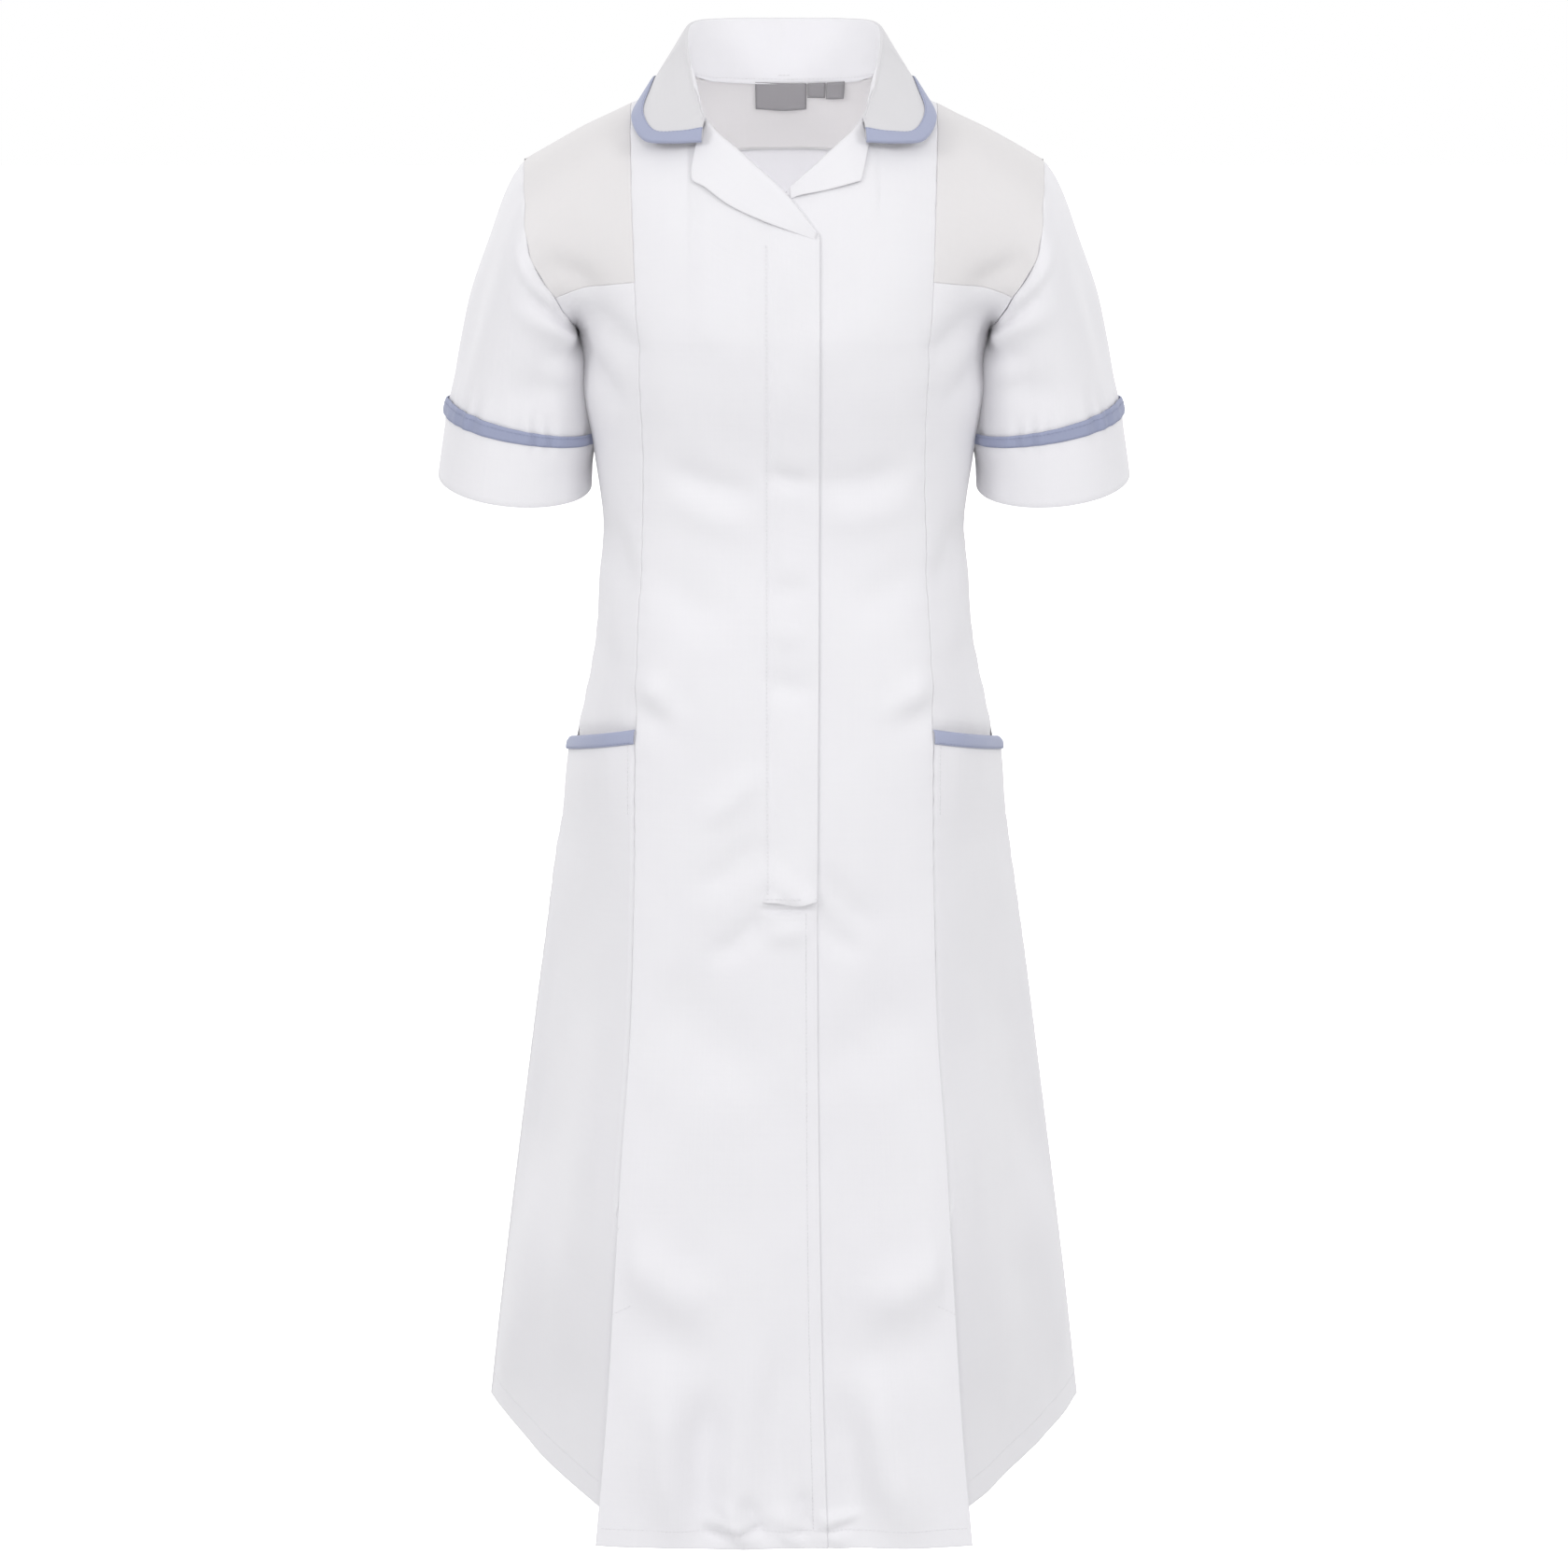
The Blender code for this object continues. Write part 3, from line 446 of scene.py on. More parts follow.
def chest(s, t):
    """Points above the underarm, for s from 0 to 4."""
    s, t = np.broadcast_arrays(s, t)
    back = s > 2
    seam = np.where(back, 3.0, 1.0)
    out = np.abs(s - seam)[..., None]
    foot = ring(s, UNDERARM_Z) - mix(ring(seam, UNDERARM_Z), armhole(np.zeros_like(t), back), out)
    x = SEAM_TOP_X + (SHOULDER_X - SEAM_TOP_X) * out[..., 0]
    top = ridge(x) - mix(ridge(SEAM_TOP_X + 0 * x), armhole(np.ones_like(t), back), out)
    between = mix(column(seam, t), armhole(t, back), out) + mix(foot, top, t[..., None])
    return np.where(((s <= 1) | (s >= 3))[..., None], column(s, t), between)


def half_form(s, q):
    low = ring(s, UNDERARM_Z + np.minimum(q, 0))
    return np.where((q > 0)[..., None], chest(s, np.maximum(q, 0)), low)


def form(s, q, out=0.0):
    """Points of the body's surface at (s, q), moved outwards by out."""
    s, q, out = np.broadcast_arrays(np.asarray(s, float), np.asarray(q, float), np.asarray(out, float))
    s = np.where(s > 4, s - 8, s)
    flip = point(np.where(s < 0, -1.0, 1.0), 1.0, 1.0)
    s = np.abs(s)
    step = 0.004
    low = np.where(s <= 1, 0.0, 1.0001)
    high = np.where(s <= 1, 1.0, 4.0)
    round_it = half_form(np.minimum(s + step, high), q) - half_form(np.maximum(s - step, low), q)
    up = half_form(s, np.minimum(q + step, 1)) - half_form(s, q - step)
    away = unit(np.cross(round_it, up))
    return (half_form(s, q) + away * out[..., None]) * flip


def height(z):
    return z - UNDERARM_Z


def column_share(s, z):
    """The q at which the line at s reaches height z above the underarm."""
    high = ridge(SEAM_TOP_X * np.minimum(s, 4 - s))[..., 2]
    return np.arcsin(np.clip((z - UNDERARM_Z) / (high - UNDERARM_Z), -1, 1)) * 2 / math.pi


def roll_end(s):
    """The q at which the front turns back, for s from the lap's edge to the front seam."""
    s = np.asarray(s, float)
    t = np.full_like(s, 0.5)
    for _ in range(8):
        x = np.copysign(column(np.abs(s), t)[..., 0], s)
        t = column_share(np.abs(s), read(ROLL, ROLL_COLUMNS, "x", x, "z"))
    return np.where(s >= NECK_S, 1.0, t)


def lap_edge(z):
    """The s of the lapping edge at height z."""
    return read(LAP, LAP_COLUMNS, "z", z, "x") / read(RINGS, RING_COLUMNS, "z", z, "seam_x")


# Creases of the whole dress, as they lie on it: each runs from one point to the other, seen from the front or
# the back, and is a trough where its depth is negative. All in millimetres.
CREASE_GAIN = 2.4
CREASE_COLUMNS = ("x0", "z0", "x1", "z1", "width", "depth")
FRONT_CREASES = (
    # across the waist and stomach
    (-85, -262, -20, -272, 11, -1.6),
    (-80, -283, -25, -296, 13, 1.2),
    (22, -268, 88, -258, 12, -1.6),
    (30, -292, 86, -284, 13, 1.1),
    (-95, -335, -45, -362, 16, -1.4),
    (50, -352, 96, -330, 16, -1.3),
    (-12, -262, 20, -266, 8, -1.7),
    (-8, -345, 14, -340, 9, -1),
    (-10, -372, 12, -374, 9, 0.8),
    (-11, -408, 16, -412, 10, -1.4),
    # from the pocket seams towards the middle
    (-104, -412, -66, -432, 11, 2),
    (-104, -440, -70, -420, 12, -1.6),
    (66, -430, 104, -410, 11, 2),
    (70, -420, 104, -440, 12, -1.5),
    # drag lines round the foot of the zip strip
    (-52, -508, -22, -470, 10, 1.3),
    (-60, -560, -18, -520, 12, -1.2),
    (28, -545, 66, -585, 12, -1.2),
    (-14, -545, 20, -562, 10, 1.4),
    (-48, -610, -16, -574, 10, -1.6),
    (22, -574, 52, -604, 10, -1.5),
    (-10, -590, 18, -584, 8, 1.2),
    # bust and underarm
    (-60, -150, -20, -182, 20, 1),
    (20, -184, 62, -150, 20, 1),
    (-140, -150, -100, -176, 10, -2.2),
    (100, -178, 140, -150, 10, -2.2),
    (-146, -176, -112, -215, 9, -1.8),
    (112, -215, 146, -176, 9, -1.8),
    (-150, -176, -134, -290, 20, 2.8),
    (134, -290, 150, -176, 20, 2.8),
    (-165, -118, -128, -132, 9, -1.6),
    (128, -132, 165, -116, 9, -1.6),
    # side waists
    (-126, -300, -108, -345, 9, -1.6),
    (108, -342, 126, -300, 9, -1.6),
    (-130, -330, -116, -392, 10, 1.2),
    (116, -392, 130, -326, 10, 1.2),
    # hips, thighs and knees
    (-85, -640, -30, -690, 28, -1.8),
    (34, -690, 88, -640, 28, -1.8),
    (-118, -838, -60, -866, 20, 2.8),
    (62, -866, 120, -838, 20, 2.8),
    (-110, -893, -44, -910, 20, -1),
    (46, -910, 112, -893, 20, -1),
    (-96, -915, -70, -1050, 17, 3.2),
    (-60, -930, -50, -1055, 15, -2.8),
    (70, -912, 98, -1052, 17, 3.2),
    (50, -935, 62, -1055, 15, -2.8),
    (-22, -900, -30, -1055, 16, 1.8),
    (0, -880, 8, -1055, 14, -1.4),
    # crumples at the front hem
    (-62, -1044, -40, -1048, 3.5, -1.3),
    (-58, -1034, -30, -1040, 4, 1),
    (-32, -1046, -16, -1041, 3.2, -1.3),
    (0, -1043, 18, -1047, 3.2, -1.2),
    (26, -1045, 52, -1040, 3.6, -1.3),
    (30, -1034, 56, -1031, 4, 1),
    (-18, -571, 22, -569, 2.6, -1.3),
    (-46, -1020, -24, -1056, 6, 1.8),
    (-30, -1018, -10, -1050, 6, -1.6),
    (-4, -1026, 10, -1056, 5, 1.6),
    (14, -1012, 20, -1046, 5, -1.4),
    (30, -1030, 44, -1056, 6, 1.5),
    # skirt sides
    (-175, -560, -192, -900, 22, -2.2),
    (-150, -640, -160, -1020, 20, 2.6),
    (172, -560, 190, -900, 22, -2.2),
    (150, -650, 162, -1020, 20, 2.6),
    (-205, -800, -222, -1050, 18, 3),
    (206, -800, 224, -1050, 18, 3),
)
BACK_CREASES = (
    # back: shoulder blades, waist and seat
    (-130, -80, -85, -170, 16, -2),
    (85, -172, 130, -80, 16, -2),
    (-110, -236, -40, -262, 12, -2.2),
    (38, -264, 108, -238, 12, -2.2),
    (-100, -280, -30, -296, 13, 1.8),
    (28, -298, 102, -276, 13, 1.8),
    (-60, -322, 50, -330, 12, -1.8),
    (-45, -356, 60, -350, 14, 1.4),
    (-90, -470, -60, -640, 24, 2.2),
    (58, -640, 92, -470, 24, 2.2),
    (-120, -620, -140, -1040, 24, -3.4),
    (118, -620, 142, -1040, 24, -3.4),
    (-70, -660, -85, -1050, 22, 3.8),
    (72, -650, 82, -1050, 22, 3.8),
    (-22, -700, -30, -1055, 24, -3.4),
    (26, -690, 30, -1055, 22, 2.8),
    (1, -780, 2, -1055, 14, -2),
)


def creases(places):
    """How far the creases move each place out."""
    x, y, z = places[..., 0], places[..., 1], places[..., 2]
    middle = read(RINGS, RING_COLUMNS, "z", z, "side_y")
    backness = ease((y - middle + 0.030) / 0.060)
    total = np.zeros_like(x)
    faces = ((FRONT_CREASES, 1 - backness), (BACK_CREASES, backness))
    for face, row in [(face, row) for rows, face in faces for row in rows]:
        crease = {name: value / 1000 for name, value in zip(CREASE_COLUMNS, row)}
        start = np.array([crease["x0"], crease["z0"]])
        run = np.array([crease["x1"], crease["z1"]]) - start
        length = np.linalg.norm(run)
        run = run / length
        along = (x - start[0]) * run[0] + (z - start[1]) * run[1]
        bow = 0.06 * length * np.sin(along / length * 2.6 + 9 * crease["x0"])
        off = (z - start[1]) * run[0] - (x - start[0]) * run[1] + bow
        taper = ease((along + crease["width"]) / (0.35 * length + crease["width"]))
        taper = taper * ease((length + crease["width"] - along) / (0.35 * length + crease["width"]))
        total += face * taper * crease["depth"] * CREASE_GAIN * np.exp(-((off / crease["width"]) ** 2))
    return total


def drift(x, y, z, size):
    """A smooth wandering value from about -1 to 1 that changes over the given size."""
    k = 2 * math.pi / size
    a = np.sin(k * (0.82 * x + 0.31 * z + 0.43 * y) + 1.7 + 1.3 * np.sin(k * 0.37 * (z - y) + 0.6))
    b = np.sin(k * (0.61 * z - 0.55 * x + 0.29 * y) + 4.1 + 1.1 * np.sin(k * 0.41 * (x + y) + 2.2))
    return 0.5 * (a + b)


def rumpled(s, q, out=0.0):
    """The body's surface with its creases, a slow unevenness and the seams' slight pucker."""
    s, q, out = np.broadcast_arrays(np.asarray(s, float), np.asarray(q, float), np.asarray(out, float))
    flat = form(s, q)
    x, y, z = flat[..., 0], flat[..., 1], flat[..., 2]
    low = ease((UNDERARM_Z - z) / 0.5)
    uneven = mix(0.0005, 0.0012, low) * drift(x, y, z, 0.105) + 0.0003 * drift(x, y, z, 0.043)
    around = np.abs(np.where(s > 4, s - 8, s))
    seam = np.minimum(np.abs(around - np.round(around)) * 0.11, 0.03)
    seam = np.where(np.round(around) % 4 == 0, 0.03, seam)
    corner = ease((CORNER_START_Z - z) / CORNER_SPAN)
    kept = mix(1.0, ease(seam / 0.016), corner)
    pucker = 0.00035 * np.exp(-seam / 0.006) * np.sin(2 * math.pi * z / 0.019 + 2.0 * np.sin(z * 37))
    return form(s, q, out + (creases(flat) + uneven) * kept + pucker * (1 - 0.8 * corner))


def rows_between(low, high, step=MESH_STEP):
    count = max(int(math.ceil(abs(high - low) / step)), 1)
    return np.linspace(low, high, count + 1)


def turned_in(grid, sides, depth=SEAM_TURN):
    """The grid with a narrow margin added at the named edges, turned in as a sewn seam is."""
    grid = np.array(grid)
    for side, axis, last, flip in (("left", 1, 0, -1), ("right", 1, 1, 1), ("low", 0, 0, 1), ("high", 0, 1, -1)):
        if side not in sides:
            continue
        lines = np.moveaxis(grid, axis, 0)
        if last:
            lines = lines[::-1]
        edge, inner = lines[0], lines[1]
        out = unit(np.cross(np.gradient(edge, axis=0), inner - edge)) * flip
        back = unit(edge - inner)
        reach = np.minimum(SEAM_REACH, 0.45 * np.linalg.norm(edge - inner, axis=-1, keepdims=True))
        shy = edge - back * SEAM_GAP
        soft = edge - back * (SEAM_GAP + reach)
        lines = np.concatenate([[shy - out * depth, shy - out * depth * 0.35, soft], lines[1:]])
        if last:
            lines = lines[::-1]
        grid = np.moveaxis(lines, 0, axis)
    return grid


def mirrored(grid):
    """The same piece for the other side, turned so that it still faces out."""
    return grid[:, ::-1] * np.array([-1.0, 1.0, 1.0])


def facing_out(grid):
    return grid[:, ::-1]


def cut(node, grid, material, wall=CLOTH_WALL, closed=False):
    """One cut piece in place of its solid: a sheet through the grid's rows, with its wall inwards."""
    grid = np.asarray(grid, float)
    if closed:
        grid = np.concatenate([grid, grid[:, :1]], 1)
    rows, across = grid.shape[:2]
    along = np.linalg.norm(np.diff(grid, axis=0), axis=2).mean(1)
    over = np.linalg.norm(np.diff(grid, axis=1), axis=2).mean(0)
    v = np.concatenate([[0], np.cumsum(along)])
    u = np.concatenate([[0], np.cumsum(over)])
    mesh = bpy.data.meshes.new(f"{node}_cloth")
    last = across - 1 if closed else across
    index = np.arange(rows * last).reshape(rows, last)
    if closed:
        index = np.concatenate([index, index[:, :1]], 1)
    faces = np.stack([index[:-1, :-1], index[:-1, 1:], index[1:, 1:], index[1:, :-1]], -1).reshape(-1, 4)
    mesh.from_pydata(grid[:, :last].reshape(-1, 3), [], faces.tolist())
    uv = np.stack(np.meshgrid(u, v), -1)
    corner = np.stack([uv[:-1, :-1], uv[:-1, 1:], uv[1:, 1:], uv[1:, :-1]], -2).reshape(-1, 2)
    mesh.uv_layers.new(name="cloth").data.foreach_set("uv", corner.ravel())
    mesh.shade_smooth()
    mesh.materials.append(material)
    made = bpy.data.objects.new(f"{node}_cloth", mesh)
    bpy.context.scene.collection.objects.link(made)
    shell = made.modifiers.new("wall", "SOLIDIFY")
    shell.thickness = wall
    shell.offset = -1
    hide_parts(node)
    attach(made, "root")
    return made


def pair(node, build, margins, material, wall=CLOTH_WALL, turn=SEAM_TURN):
    """A left piece and its right counterpart, which has creases of its own."""
    for name, sign in (("left", 1), ("right", -1)):
        grid = build(sign) if sign > 0 else facing_out(build(sign))
        cut(f"{node}_{name}", turned_in(grid, margins, turn), material, wall)


HEM_ROWS = 0.045
FOOT_LOW_Z = -0.580
FOOT_HIGH_Z = -0.562


def front_grid(side):
    """Half a front from the lap's edge to the front seam; the left one gives way where they lap."""
    hem = rows_between(HEM_Z, HEM_Z + HEM_ROWS, MESH_STEP * 0.55)
    skirt = rows_between(HEM_Z + HEM_ROWS, FOOT_LOW_Z)[1:]
    foot = rows_between(FOOT_LOW_Z, FOOT_HIGH_Z, MESH_STEP * 0.3)[1:]
    body = height(np.concatenate([hem, skirt, foot, rows_between(FOOT_HIGH_Z, UNDERARM_Z)[1:]]))
    shares = rows_between(0, 1, 0.028)[1:]
    f = rows_between(0, 1, 0.024)
    q = np.concatenate([body, shares])[:, None]
    z = UNDERARM_Z + np.minimum(q, 0)
    s = mix(-lap_edge(z), 1, f[None, :])
    top = roll_end(s)
    depth = -UNDER_DEPTH * (1 - ease((s - UNDER_START_S) / UNDER_SPAN_S)) if side > 0 else 0.0
    return rumpled(side * s, np.where(q <= 0, q, q * top), depth)


pair("front", front_grid, ("left", "right", "low"), WHITE_TWILL, 0.0005)


# The strip that hides the zip: a long narrow facing of the same twill, sewn on beside the lapping edge.
# Its lower end is stitched across and stands off a little, with a small fold above it.
PLACKET_WIDTH = 0.0366
PLACKET_TOP_Z = -0.0975
PLACKET_TOP_LEFT_Z = -0.0820
PLACKET_BLEND = 0.17
PLACKET_END_Z = -0.567
PLACKET_WALL = 0.0006
PLACKET_LIFT = 0.0009
PLACKET_END_LIFT = 0.0044


def body_share(s, z):
    """The q of height z on the line at s, on the skirt or up the chest."""
    return np.where(z <= UNDERARM_Z, height(z), column_share(np.abs(s), z))


def placket_place(f, z):
    """The s at share f of the strip's width at height z."""
    wide = read(RINGS, RING_COLUMNS, "z", z, "seam_x")
    return (LAP_X - (1 - f) * PLACKET_WIDTH) / wide


def placket_grid():
    f = rows_between(-PLACKET_BLEND, 1, 0.085)[None, :]
    rise = rows_between(0, 1, 0.009)[:, None]
    foot = PLACKET_END_Z + 0.0016 * np.sin(7.5 * f + 0.6)
    z = mix(foot, mix(PLACKET_TOP_LEFT_Z, PLACKET_TOP_Z, np.clip(f, 0, 1)), rise)
    s = placket_place(f, z)
    end = ease((PLACKET_END_Z + 0.012 - z) / 0.012)
    lift = mix(-0.0011, PLACKET_LIFT, ease((f + PLACKET_BLEND) / 0.55))
    lift = np.minimum(lift, mix(PLACKET_LIFT, 0.0006, ease((z + 0.108) / 0.010)))
    lift = lift + PLACKET_END_LIFT * end * (0.50 + 0.50 * np.sin(2.7 * math.pi * f + 0.9)) * ease(f / 0.12 + 0.6)
    lift = lift + 0.0007 * np.sin(2 * math.pi * z / 0.118 + 0.8) * np.sin(math.pi * np.maximum(f, 0))
    return rumpled(s, body_share(s, z), lift)


placket = turned_in(placket_grid(), ("right", "low"), 0.0007)
cut("placket", placket, WHITE_TWILL, PLACKET_WALL)


# Chest pieces between front seam and armhole, in a greyer copy of the twill whose grey is painted shade
# for how cloth cut across the grain takes the light, and set onto the side fronts at the bust seam.
BUST_T_SEAM = 0.156
BUST_T_SAG = 0.105
BUST_T_ARMHOLE = 0.345
POCKET_SEAM_Z = -0.4450
POCKET_SIDE_Z = -0.4738
POCKET_OVERLAP = 0.030
POCKET_STAND = 0.0060
POCKET_FADE = 0.090
POCKET_RISE_S = 0.22
POCKET_FALL_S = 0.10
SIDE_STEP_S = 0.036


def chest_share(s, t):
    """The common chest rows, bent so that one of them is the bust seam."""
    low = mix(BUST_T_SEAM, BUST_T_ARMHOLE, s - 1) - BUST_T_SAG * (s - 1) * (2 - s)
    below = t / BUST_T_SEAM * low
    above = low + (t - BUST_T_SEAM) / (1 - BUST_T_SEAM) * (1 - low)
    return np.where(t <= BUST_T_SEAM, below, above)


side_s = rows_between(1.0001, 2, SIDE_STEP_S)[None, :]
upper_t = rows_between(BUST_T_SEAM, 1, 0.028)[:, None]


def upper_grid(side):
    return rumpled(side * side_s, chest_share(side_s, upper_t))


pair("upper_side_front", upper_grid, ("left", "right", "low", "high"), SHADED_TWILL)


# Side fronts, from the bust seam down to inside the pocket's mouth, where the skirt side overlaps them.
def pocket_z(s):
    """Height of the pocket's mouth, which slants down to the side seam."""
    return mix(POCKET_SEAM_Z, POCKET_SIDE_Z, s - 1)


def pocket_stand(s, z):
    """How far the skirt stands away from the piece behind it, most at the pocket's mouth."""
    wide = ease((s - 1) / POCKET_RISE_S) * ease((2 - s) / POCKET_FALL_S)
    return POCKET_STAND * wide * ease((z - pocket_z(s)) / POCKET_FADE + 1)


def side_front_grid(side):
    share = rows_between(0, 1, 0.0145)[:, None]
    rise = np.concatenate([rows_between(-POCKET_OVERLAP, -0.004, 0.007), [0.0]])[:, None]
    narrow = mix(1.010, 1.988, side_s - 1)
    hidden = rumpled(side * narrow, height(pocket_z(narrow) + rise), -0.0021)
    opening = ease(share * (UNDERARM_Z - POCKET_SEAM_Z) / 0.012)
    s = mix(narrow, side_s, opening)
    body = rumpled(side * s, height(mix(pocket_z(s), UNDERARM_Z, share)), -0.0021 * (1 - opening))[1:]
    low_t = rows_between(0, BUST_T_SEAM, 0.028)[1:, None]
    chest_rows = rumpled(side * side_s, chest_share(side_s, low_t))
    return np.concatenate([hidden, body, chest_rows])


pair("side_front", side_front_grid, ("left", "right", "high"), WHITE_TWILL)


# Skirt sides: wide panels from hem to hip whose top edge is the pocket's mouth, standing a little open. Below the
# kick pleat's top their front edge runs on behind the front panel.
PLEAT_RUN_IN = 0.0050
PLEAT_CLEAR = 0.0016
skirt_share = rows_between(0, 1, 0.0072)[:, None]
skirt_z = mix(HEM_Z, pocket_z(side_s), skirt_share)


def skirt_grid(side):
    grid = rumpled(side * side_s, height(skirt_z), pocket_stand(side_s, skirt_z))
    down = ease((PLEAT_TOP_Z - skirt_z[:, 0]) / 0.02)
    behind = grid[:, 0] + point(-side * PLEAT_RUN_IN * down, PLEAT_CLEAR * down, 0 * down)
    grid[:, 0] = grid[:, 0] + point(0 * down, PLEAT_CLEAR * 0.5 * down, 0 * down)
    return np.concatenate([mix(grid[:, :1], behind[:, None], np.where(down > 0, 1.0, 0.02)[:, None, None]), grid], 1)


pair("skirt_side", skirt_grid, ("right", "low"), WHITE_TWILL)


# Pocket bindings: pale blue bias strips folded over the mouths' raw edges and stitched down along the fold.
POCKET_BINDING = 0.0089
BINDING_WALL = 0.0008
BINDING_LIFT = 0.0014
BINDING_CROWN = 0.0007
BLUE = (0.405, 0.432, 0.570)
BLUE_SHADE = (0.350, 0.378, 0.515)

BLUE_BINDING = cloth_material("pale blue binding", BLUE, BLUE_SHADE, 0.0005, 0.80, 0.20, 0.00020)
BAND = np.array([0.00, 0.06, 0.18, 0.35, 0.52, 0.70, 0.86, 0.95, 1.00])
BAND_RISE = np.array([-0.55, 0.25, 0.75, 1.00, 1.05, 1.00, 0.80, 0.35, -0.70])


def pocket_binding_grid(side):
    band = BAND[:, None]
    round_end = 0.0050 * ease((side_s - 1.78) / 0.20)
    z = pocket_z(side_s) - POCKET_BINDING + band * (POCKET_BINDING + 0.0014 - round_end)
    stand = pocket_stand(side_s, np.minimum(z, pocket_z(side_s)))
    return rumpled(side * side_s, height(z), stand + BINDING_LIFT + BAND_RISE[:, None] * BINDING_CROWN)


pair("pocket_binding", pocket_binding_grid, ("left", "right"), BLUE_BINDING, BINDING_WALL, 0.0007)


# Inlays of the kick pleats: the folded cloth between the front panel's edge and the skirt side.
PLEAT_TUCK = 0.026
PLEAT_IN = 0.0030
PLEAT_BEND = 0.60


def flowing(points, count):
    """Evenly spaced places on the smooth curve through the points, along the last but one axis."""
    points = np.asarray(points)
    first = 2 * points[..., :1, :] - points[..., 1:2, :]
    last = 2 * points[..., -1:, :] - points[..., -2:-1, :]
    all_of = np.concatenate([first, points, last], -2)
    at = np.linspace(0, points.shape[-2] - 1, count)
    i = np.minimum(at.astype(int), points.shape[-2] - 2)
    u = (at - i)[:, None]
    a, b, c, d = (all_of[..., i + k, :] for k in range(4))
    return 0.5 * (2 * b + (c - a) * u + (2 * a - 5 * b + 4 * c - d) * u**2 + (3 * b - a - 3 * c + d) * u**3)


def pleat_grid(side):
    """Rows from the side panel inwards and out again to the front panel's fold."""
    z = rows_between(HEM_Z, PLEAT_TOP_Z - 0.012)
    fold = rumpled(side * 1.0, height(z), -0.0022)
    back = rumpled(side * 1.0001, height(z), -0.0009)
    bend = fold + point(-side * PLEAT_TUCK * PLEAT_BEND + 0 * z, 0.0020 + pleat_step(z) * 0.08, 0)
    inner = point(fold[:, 0] - side * PLEAT_TUCK, mix(fold[:, 1], back[:, 1], 0.45), z)
    near = fold + np.array([-side * PLEAT_IN, 0.0004, 0])
    return flowing(np.stack([back, inner, bend, near], 1), 16)


pair("pleat", pleat_grid, ("low",), WHITE_TWILL)


# The back: a yoke over the shoulders, a centre panel shaped at the waist, and two side backs.
YOKE_T_SEAM = 0.47
YOKE_CENTRE_Z = -0.0410
YOKE_T_ARMHOLE = 0.87
BACK_NECK_Z = 0.0070
BACK_NECK_CURVE = 2.4


def yoke_share(s):
    off = np.abs(s - 4)
    seam_z = UNDERARM_Z + math.sin(YOKE_T_SEAM * math.pi / 2) * (ridge(SEAM_TOP_X)[2] - UNDERARM_Z)
    inner = column_share(4 - np.minimum(off, 1), mix(YOKE_CENTRE_Z, seam_z, ease(off) ** 2))
    return np.where(off < 1, inner, mix(YOKE_T_SEAM, YOKE_T_ARMHOLE, ease(off - 1)))


def neck_end(s):
    """The q of the back's neckline, for s from 3 to 5."""
    off = np.abs(s - 4)
    share = np.minimum(off / NECK_S, 1)
    dip = column_share(4 - np.minimum(off, 1), mix(BACK_NECK_Z, NECK_Z, share**BACK_NECK_CURVE))
    return np.where(off >= NECK_S, 1.0, dip)


def back_grid(first, last):
    q = np.concatenate([height(rows_between(HEM_Z, UNDERARM_Z)), rows_between(0, 1, 0.045)[1:]])[:, None]
    s = rows_between(first, last, SIDE_STEP_S)[None, :]
    return rumpled(s, np.where(q <= 0, q, q * yoke_share(s)))


BACK_TURN = 0.0006
for node, first, last in (("back_centre", 3, 5), ("side_back_left", 2.0001, 3), ("side_back_right", 5, 5.9999)):
    cut(node, turned_in(back_grid(first, last), ("left", "right", "low", "high"), BACK_TURN), WHITE_TWILL)

yoke_s = np.concatenate([
    rows_between(2.0001, 3, 0.04), rows_between(3, 4 - NECK_S, 0.04)[1:],
    rows_between(4 - NECK_S, 4 + NECK_S, 0.035)[1:], rows_between(4 + NECK_S, 5, 0.04)[1:],
    rows_between(5, 5.9999, 0.04)[1:],
])[None, :]
yoke_u = rows_between(0, 1, 0.045)[:, None]
yoke = rumpled(yoke_s, mix(yoke_share(yoke_s), neck_end(yoke_s), yoke_u))
# The yoke takes the greyer twill, whose grey is painted shade.
cut("back_yoke", turned_in(yoke, ("left", "right", "low", "high")), SHADED_TWILL)


# Short sleeves, set into the armholes and eased over the shoulder. They hang a little away from the body,
# with soft drag lines below the armhole and small gathers where the cuff's seam takes them in.
SLEEVE_COLUMNS = ("centre_x", "centre_y", "centre_z", "half_x", "half_y", "rise_x", "rise_y")
SLEEVE_END = (0.1915, 0.004, -0.2345, 0.0515, 0.060, 0.185, 0.09)
CUFF_EDGE = (0.1965, 0.006, -0.2765, 0.0545, 0.062, 0.100, 0.20)
UNDER_LEAVE = np.array([-0.12, 0, -1])
TOP_LEAVE = np.array([0.75, 0, -0.66])
TOP_PULL = 0.54
UNDER_ARRIVE = np.array([-0.10, 0, -1])
TOP_ARRIVE = np.array([0.22, 0, -1])
SLEEVE_ROUND = 0.8
SLEEVE_AROUND = 0.36
SLEEVE_DEEP = 0.17
SLEEVE_CREASE_GAIN = 1.7
SLEEVE_TO_BODY = 0.0046
SLEEVE_CREASE_COLUMNS = ("turn0", "w0", "turn1", "w1", "width", "depth")
